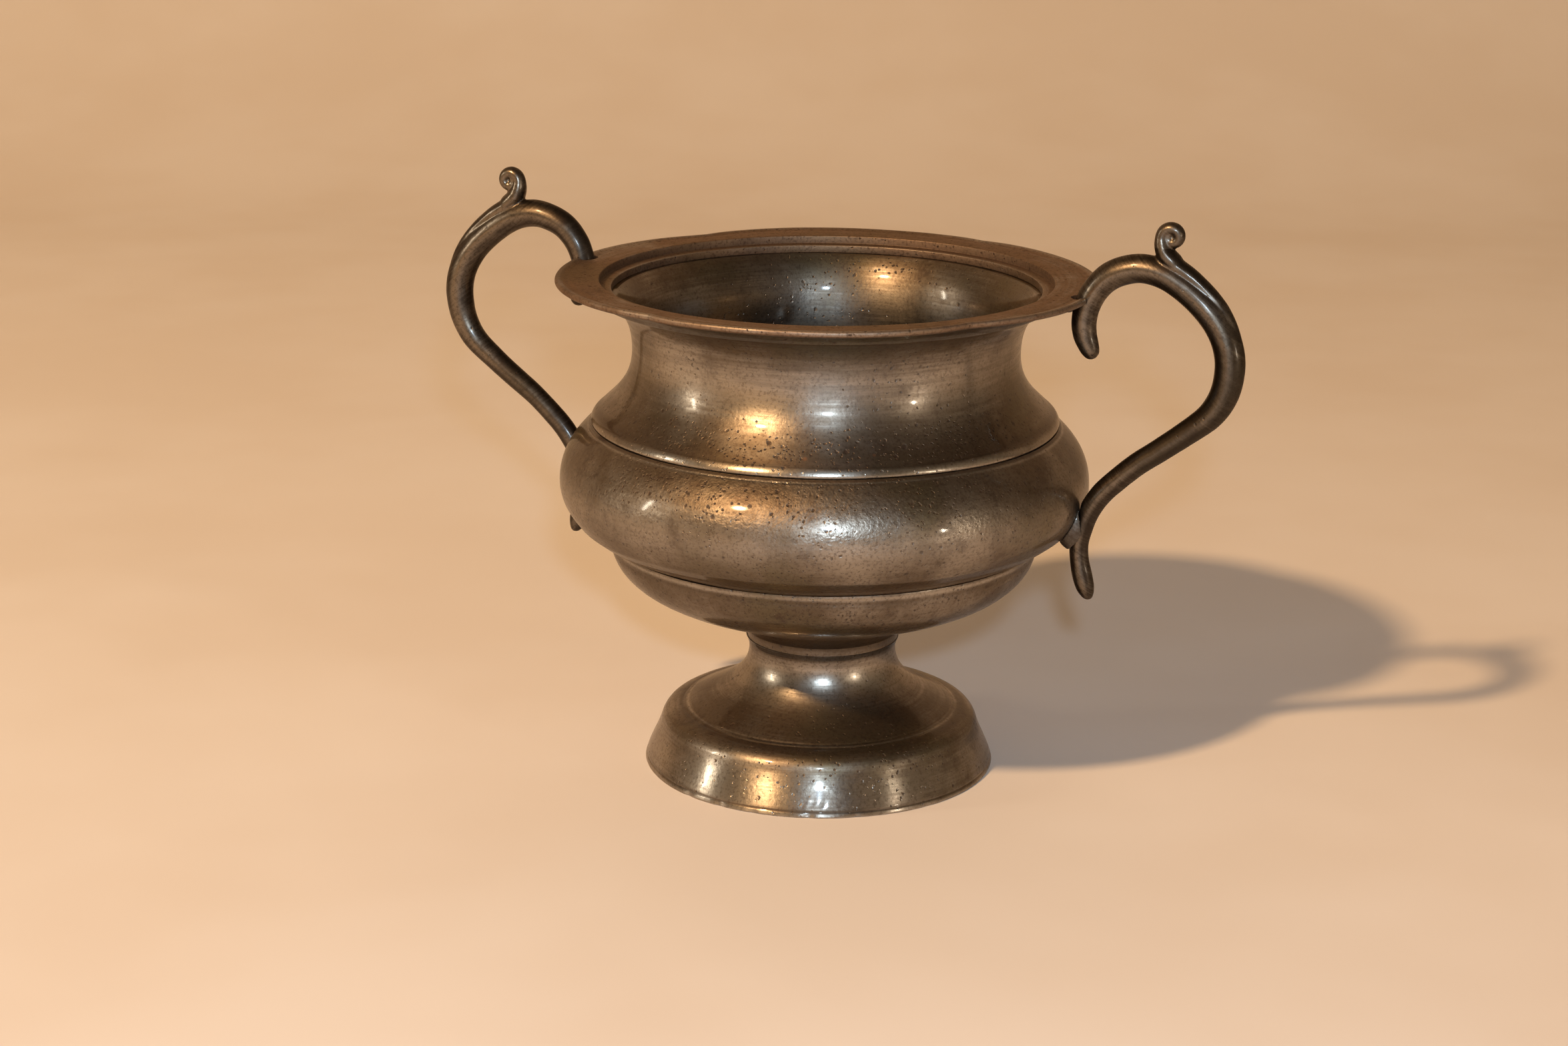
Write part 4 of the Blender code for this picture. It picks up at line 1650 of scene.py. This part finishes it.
    def build(self, side: Side, metal: bpy.types.Material, solder: bpy.types.Material) -> None:
        """Makes one handle and the solder at its two ends.

        Args:
            side: which handle it is.
            metal: the handle's finish.
            solder: the solder's finish.
        """
        label = side.name.lower()
        lift = self.right_lift if side is Side.RIGHT else self.left_lift
        place = Matrix.Rotation(side.value, 4, "Z") @ Matrix.Translation((0.0, 0.0, lift))
        bar = self.bar()
        shape = swept(bar, self.flatness, self.ridge, self.sides)
        bmesh.ops.transform(shape, matrix=place, verts=shape.verts)
        piece = solid(f"{label}_handle", shape)
        cut(piece, [self.bowl.belly_core(GAP)])
        joined = bmesh.new()
        joined.from_mesh(piece.data)
        for part in self.parts():
            bmesh.ops.transform(part, matrix=place, verts=part.verts)
            extra = bpy.data.meshes.new("part")
            part.to_mesh(extra)
            part.free()
            joined.from_mesh(extra)
            bpy.data.meshes.remove(extra)
        joined.to_mesh(piece.data)
        joined.free()
        cast(piece, self.grain, 4)
        self.roughen(piece, side.value + 2.0)
        Dress(metal, Slot.HANDLE, self.wear_and_highlight, self.grime_and_shade, plain).put_on(piece, [f"handle_{label}"])
        self.build_lower_solder(side, place, bar, solder)
        self.build_upper_solder(side, place, solder)

    def roughen(self, piece: bpy.types.Object, seed: float) -> None:
        """Gives a casting its slight waviness.

        Args:
            piece: the object that is changed.
            seed: which waviness it is.
        """
        shape = bmesh.new()
        shape.from_mesh(piece.data)
        shape.normal_update()
        uneven(shape, 9 * MM, 0.10 * MM, seed)
        uneven(shape, 2.6 * MM, 0.02 * MM, seed + 5.0)
        shape.to_mesh(piece.data)
        shape.free()

    def build_lower_solder(
        self, side: Side, place: Matrix, bar: Sequence[Station], solder: bpy.types.Material
    ) -> None:
        """Makes the web of solder between the lower tail and the belly.

        Args:
            side: which handle it belongs to.
            place: the handle's place.
            bar: the bar's stations.
            solder: the solder's finish.
        """
        label = side.name.lower()
        low = self.bowl.belly_height
        middle = Vector((self.bowl.belly_radius - 1.5 * MM, 0.0, low - 4.9 * MM))
        shape = blob(middle, Vector((4.3, 3.4, 6.0)) * MM)
        bmesh.ops.transform(shape, matrix=place, verts=shape.verts)
        piece = solid(f"{label}_lower_solder", shape)
        wide = [(x, z, thickness + 2 * GAP) for x, z, thickness in bar]
        groove = swept(wide, self.flatness, self.ridge, self.sides)
        bmesh.ops.transform(groove, matrix=place, verts=groove.verts)
        cut(piece, [self.bowl.belly_core(0.1 * MM), groove])
        cast(piece, 0.16 * MM, 4)
        self.roughen(piece, side.value + 4.0)
        Dress(solder, Slot.SOLDER).put_on(piece, [f"lower_solder_{label}"])

    def build_upper_solder(self, side: Side, place: Matrix, solder: bpy.types.Material) -> None:
        """Makes the small fillet under the brim, against the upper tail.

        Args:
            side: which handle it belongs to.
            place: the handle's place, which is not used.
            solder: the solder's finish.
        """
        label = side.name.lower()
        under = self.brim.top - self.brim.edge - 0.9 * MM
        middle = Vector((self.seat_radius - 0.7 * MM, 0.0, under))
        shape = blob(middle, Vector((1.5, 2.9, 1.5)) * MM)
        bmesh.ops.transform(shape, matrix=Matrix.Rotation(side.value, 4, "Z"), verts=shape.verts)
        piece = solid(f"{label}_upper_solder", shape)
        cast(piece, 0.16 * MM, 2)
        self.roughen(piece, side.value + 6.0)
        Dress(solder, Slot.SOLDER).put_on(piece, [f"upper_solder_{label}"])

    def seat(self, side: Side) -> bmesh.types.BMesh:
        """The shape that cuts a handle's notch in the brim.

        Args:
            side: which handle it is for.

        Returns:
            The shape.
        """
        radius = self.tail * self.swell / 2 + GAP
        shape = bmesh.new()
        place = Matrix.Rotation(side.value, 4, "Z") @ Matrix.Translation(
            (self.seat_radius - GAP + radius, 0.0, self.brim.top)
        )
        bmesh.ops.create_cone(
            shape, cap_ends=True, segments=64, radius1=radius, radius2=radius, depth=20 * MM, matrix=place
        )
        return shape

    def wear_and_highlight(self, place: Vector, normal: Vector) -> float:
        """Bright along the two side ridges, a painted highlight band as well as rubbing, and rubbed over the
        volute.

        Args:
            place: a point of the surface.
            normal: the way it faces there.

        Returns:
            How bright it is made, from 0 to 1.
        """
        # Painted highlight: the faces that look along Y, on the side ridges, are brightened.
        ridge = max(0.0, (abs(normal.y) - 0.86) / 0.14) * 0.5
        crown = 0.5 if place.z > self.brim.top + 0.8 * self.volute_rise else 0.0
        return max(ridge, crown * abs(normal.y))

    def grime_and_shade(self, place: Vector, _normal: Vector) -> float:
        """Dark where the tails meet the brim and the belly.

        Args:
            place: a point of the surface.
            _normal: the way it faces there, which makes no difference.

        Returns:
            How dark it is made, from 0 to 1.
        """
        radius = math.hypot(place.x, place.y)
        high = math.dist((radius, place.z), (self.seat_radius, self.brim.top))
        low = math.dist((radius, place.z), (self.bowl.belly_radius, self.bowl.belly_height - 4.0 * MM))
        return 0.7 * fade(min(high, low), 3.0 * MM)


@dataclass
class Seams:
    """The rings of solder that join the turned pieces."""

    bowl: Bowl
    brim: Brim
    size: float = 1.4 * MM
    steps: int = 256

    def inside_ring(self, below: Sequence[Point], above: Sequence[Point]) -> list[Point]:
        """The section of the solder along the inside of a seam.

        Args:
            below: the outline under the seam.
            above: the outline over it.

        Returns:
            The closed section.
        """
        under, over = inner_wall(below), inner_wall(above)[::-1]
        seam = (under[0][1] + over[0][1]) / 2
        low = end_at(under, seam - self.size)[-1]
        high = end_at(over, seam + self.size)[-1]
        face = min(under[0][0], over[0][0]) - GAP
        top, bottom = (high[0] - GAP, high[1]), (low[0] - GAP, low[1])
        line = bezier(top, (-0.3 * MM, -0.6 * MM), (-0.3 * MM, 0.6 * MM), bottom)
        swell = [0.35 * self.size * math.sin(math.pi * index / (len(line) - 1)) for index in range(len(line))]
        bulge = [(radius - out, height) for (radius, height), out in zip(line, swell)]
        return [(face, seam), *bulge[::4]]

    def build(self, solder: bpy.types.Material) -> None:
        """Makes the four rings.

        Args:
            solder: their finish.
        """
        bowl = self.bowl
        section = self.inside_ring(bowl.bottom_outline(), bowl.belly_outline())
        self.ring("step_seam", section, solder, "step_solder_ring")
        section = self.inside_ring(bowl.belly_outline(), bowl.neck_outline())
        self.ring("shoulder_seam", section, solder, "shoulder_solder_ring")
        stem = bowl.stem_radius - 0.4 * MM
        section = [
            (stem, bowl.base - self.size),
            (stem + 0.12 * self.size, bowl.base - 0.55 * self.size),
            (stem + 0.28 * self.size, bowl.base - 0.25 * self.size),
            (stem + 0.34 * self.size, bowl.base - SEAM / 2),
            (stem, bowl.base - SEAM / 2),
        ]
        self.ring("stem_seam", section, solder, "stem_solder_ring")
        under = self.brim.top - self.brim.edge - 0.7 * MM
        corner = bowl.neck_flare + 1.4 * MM
        section = [
            (corner - 0.8 * MM, bowl.neck_top - GAP),
            (corner, under - 0.55 * self.size),
            (corner + self.size, under),
            (corner, under),
        ]
        self.ring("brim_seam", section, solder, "brim_solder_ring")

    def ring(self, name: str, section: Sequence[Point], solder: bpy.types.Material, node: str) -> None:
        """Makes one ring, a little uneven all round.

        Args:
            name: what it is called.
            section: its closed section.
            solder: its finish.
            node: the frame's node that it stands for.
        """
        shape = turned(section, closed=True, steps=self.steps)
        uneven(shape, 6 * MM, 0.10 * MM, 1.0)
        Dress(solder, Slot.SOLDER).put_on(solid(name, shape), [node])


# Surroundings


@dataclass(frozen=True)
class Lamp:
    """A small soft lamp, placed from the camera's direction: degrees to the right of it, and up."""

    name: str
    right: float
    up: float
    distance: float
    width: float
    height: float
    power: float
    colour: Colour

    def place(self) -> None:
        """Hangs the lamp, facing the bowl's middle."""
        light = bpy.data.lights.new(self.name, "AREA")
        light.shape = "ELLIPSE"
        light.size, light.size_y = self.width, self.height
        light.energy = self.power
        light.color = self.colour
        lamp = bpy.data.objects.new(self.name, light)
        turn = CAMERA_AZIMUTH + math.radians(self.right)
        rise = math.radians(self.up)
        back = Vector((math.sin(turn) * math.cos(rise), -math.cos(turn) * math.cos(rise), math.sin(rise)))
        middle = Vector((0.0, 0.0, 0.08))
        lamp.location = middle + back * self.distance
        lamp.rotation_euler = back.to_track_quat("Z", "Y").to_euler()
        lamp.visible_camera = False
        bpy.context.scene.collection.objects.link(lamp)


@dataclass
class Studio:
    """The table, the lamps, the dim warm room and the camera."""

    target: Vector
    distance: float = 0.717
    elevation: float = 0.2832
    yaw: float = -0.0140
    roll: float = 0.0124
    lens: float = 65.26
    sensor: float = 36.0
    floor_radius: float = 5.0
    bend_start: float = 0.75
    bend: float = 0.6

    def build(self) -> None:
        """Makes everything round the bowl."""
        scene = bpy.context.scene
        scene.view_settings.view_transform = "Standard"
        self.floor()
        self.room()
        for lamp in (
            Lamp("key_lamp", -42.0, 41.0, 2.4, 0.15, 0.15, 52.0, (1.0, 0.62, 0.30)),
            Lamp("front_lamp", 1.5, 19.0, 0.78, 0.034, 0.036, 2.3, (0.66, 0.84, 1.0)),
            Lamp("left_lamp", -80.0, 15.0, 1.0, 0.035, 0.26, 1.3, (1.0, 0.86, 0.66)),
            Lamp("right_lamp", 50.0, 5.0, 1.0, 0.034, 0.08, 1.0, (1.0, 0.84, 0.64)),
        ):
            lamp.place()
        self.camera()
        log.info("surroundings: %d lights", len(bpy.data.lights))

    def floor(self) -> None:
        """Lays the table's cover, which sweeps up behind the bowl."""
        shape = bmesh.new()
        low, high = (self.bend_start, 0.0), (self.bend_start + self.bend, self.bend)
        curl = bezier(low, (0.55 * self.bend, 0.0), (0.0, -0.55 * self.bend), high)
        line = [(-self.floor_radius, 0.0), *curl, (high[0], self.floor_radius)]
        verts = [shape.verts.new((-self.floor_radius, away, height)) for away, height in line]
        edges = [shape.edges.new(pair) for pair in zip(verts, verts[1:])]
        drawn = bmesh.ops.extrude_edge_only(shape, edges=edges)["geom"]
        far = [item for item in drawn if isinstance(item, bmesh.types.BMVert)]
        bmesh.ops.translate(shape, vec=(2 * self.floor_radius, 0.0, 0.0), verts=far)
        bmesh.ops.rotate(
            shape, cent=(0.0, 0.0, 0.0), matrix=Matrix.Rotation(CAMERA_AZIMUTH, 3, "Z"), verts=shape.verts
        )
        bmesh.ops.recalc_face_normals(shape, faces=shape.faces)
        floor = solid("table", shape)
        floor.data.shade_smooth()
        floor.data.materials.append(Cloth().material())

    def room(self) -> None:
        """Fills the room with a dim warm light, darkest overhead."""
        world = bpy.data.worlds.new("room")
        bpy.context.scene.world = world
        world.use_nodes = True
        tree = world.node_tree
        place = tree.nodes.new("ShaderNodeTexCoord")
        split = tree.nodes.new("ShaderNodeSeparateXYZ")
        ramp = tree.nodes.new("ShaderNodeValToRGB")
        ramp.color_ramp.elements[0].position = 0.0
        ramp.color_ramp.elements[0].color = (0.40, 0.28, 0.17, 1.0)
        ramp.color_ramp.elements[1].position = 0.75
        ramp.color_ramp.elements[1].color = (0.11, 0.080, 0.050, 1.0)
        tree.links.new(place.outputs["Generated"], split.inputs[0])
        tree.links.new(split.outputs[2], ramp.inputs[0])
        tree.links.new(ramp.outputs[0], tree.nodes["Background"].inputs[0])

    def camera(self) -> None:
        """Sets up the camera."""
        forward_flat = Vector((-math.sin(CAMERA_AZIMUTH), math.cos(CAMERA_AZIMUTH), 0.0))
        right = Vector((math.cos(CAMERA_AZIMUTH), math.sin(CAMERA_AZIMUTH), 0.0))
        forward = forward_flat * math.cos(self.elevation) - Vector((0, 0, 1)) * math.sin(self.elevation)
        up = right.cross(forward)
        spot = self.target - forward * self.distance
        turned_forward = forward * math.cos(self.yaw) + right * math.sin(self.yaw)
        turned_right = right * math.cos(self.yaw) - forward * math.sin(self.yaw)
        level = turned_right * math.cos(self.roll) + up * math.sin(self.roll)
        upright = up * math.cos(self.roll) - turned_right * math.sin(self.roll)
        data = bpy.data.cameras.new("camera")
        data.lens = self.lens
        data.sensor_width = self.sensor
        data.clip_start, data.clip_end = 0.01, 50.0
        camera = bpy.data.objects.new("camera", data)
        matrix = Matrix.Identity(4)
        matrix.col[0] = (*level, 0.0)
        matrix.col[1] = (*upright, 0.0)
        matrix.col[2] = (*-turned_forward, 0.0)
        matrix.col[3] = (*spot, 1.0)
        camera.matrix_world = matrix
        bpy.context.scene.collection.objects.link(camera)
        bpy.context.scene.camera = camera


def main() -> None:
    """Builds the bowl, piece by piece, then its surroundings."""
    logging.basicConfig(level=logging.INFO, format="%(name)s %(message)s")
    foot_metal = Pewter(
        "foot_pewter",
        film_cover=0.72,
        turning=34e-6,
        turning_radius=-0.7,
        grain=20e-6,
        brushed=0.8,
        brushed_up_to=10.0 * MM,
    ).material()
    body_metal = Pewter(
        "belly_pewter",
        film_cover=0.84,
        grain=85e-6,
        pit_share=0.50,
        streaks=0.6,
    ).material()
    neck_metal = Pewter(
        "neck_pewter",
        film_cover=0.90,
        turning=26e-6,
        grain=24e-6,
        pit_share=0.34,
        rust_share=0.12,
        brushed=0.6,
    ).material()
    brim_metal = Pewter(
        "brim_pewter",
        film=(0.240, 0.160, 0.108),
        cloud=(0.200, 0.148, 0.092),
        film_cover=0.95,
        stain_cover=0.5,
        gloss=0.38,
        dull=0.58,
        lacquer=0.0,
        turning_height=0.2,
        turning_radius=1.0,
    ).material()
    handle_metal = Pewter(
        "handle_pewter",
        metal=(0.20, 0.165, 0.130),
        film=(0.036, 0.026, 0.019),
        cloud=(0.039, 0.032, 0.021),
        stain=(0.020, 0.014, 0.011),
        film_cover=0.85,
        gloss=0.30,
        dull=0.44,
        turning=3e-6,
        grain=16e-6,
        lacquer=0.35,
        lacquer_dull=0.18,
        pit_share=0.10,
    ).material()
    solder = Pewter(
        "solder",
        metal=(0.20, 0.185, 0.17),
        film=(0.075, 0.063, 0.052),
        film_cover=0.70,
        grain=60e-6,
        gloss=0.38,
        dull=0.52,
    ).material()

    bowl, brim = Bowl(), Brim()
    handles = Handles(bowl, brim)
    Foot().build(foot_metal)
    bowl.build(body_metal, neck_metal)
    brim.build(brim_metal, [handles.seat(side) for side in Side])
    for side in Side:
        handles.build(side, handle_metal, solder)
    Seams(bowl, brim).build(solder)
    Studio(Vector((0.0, 0.0, 61.9 * MM))).build()


if __name__ == "__main__":
    main()
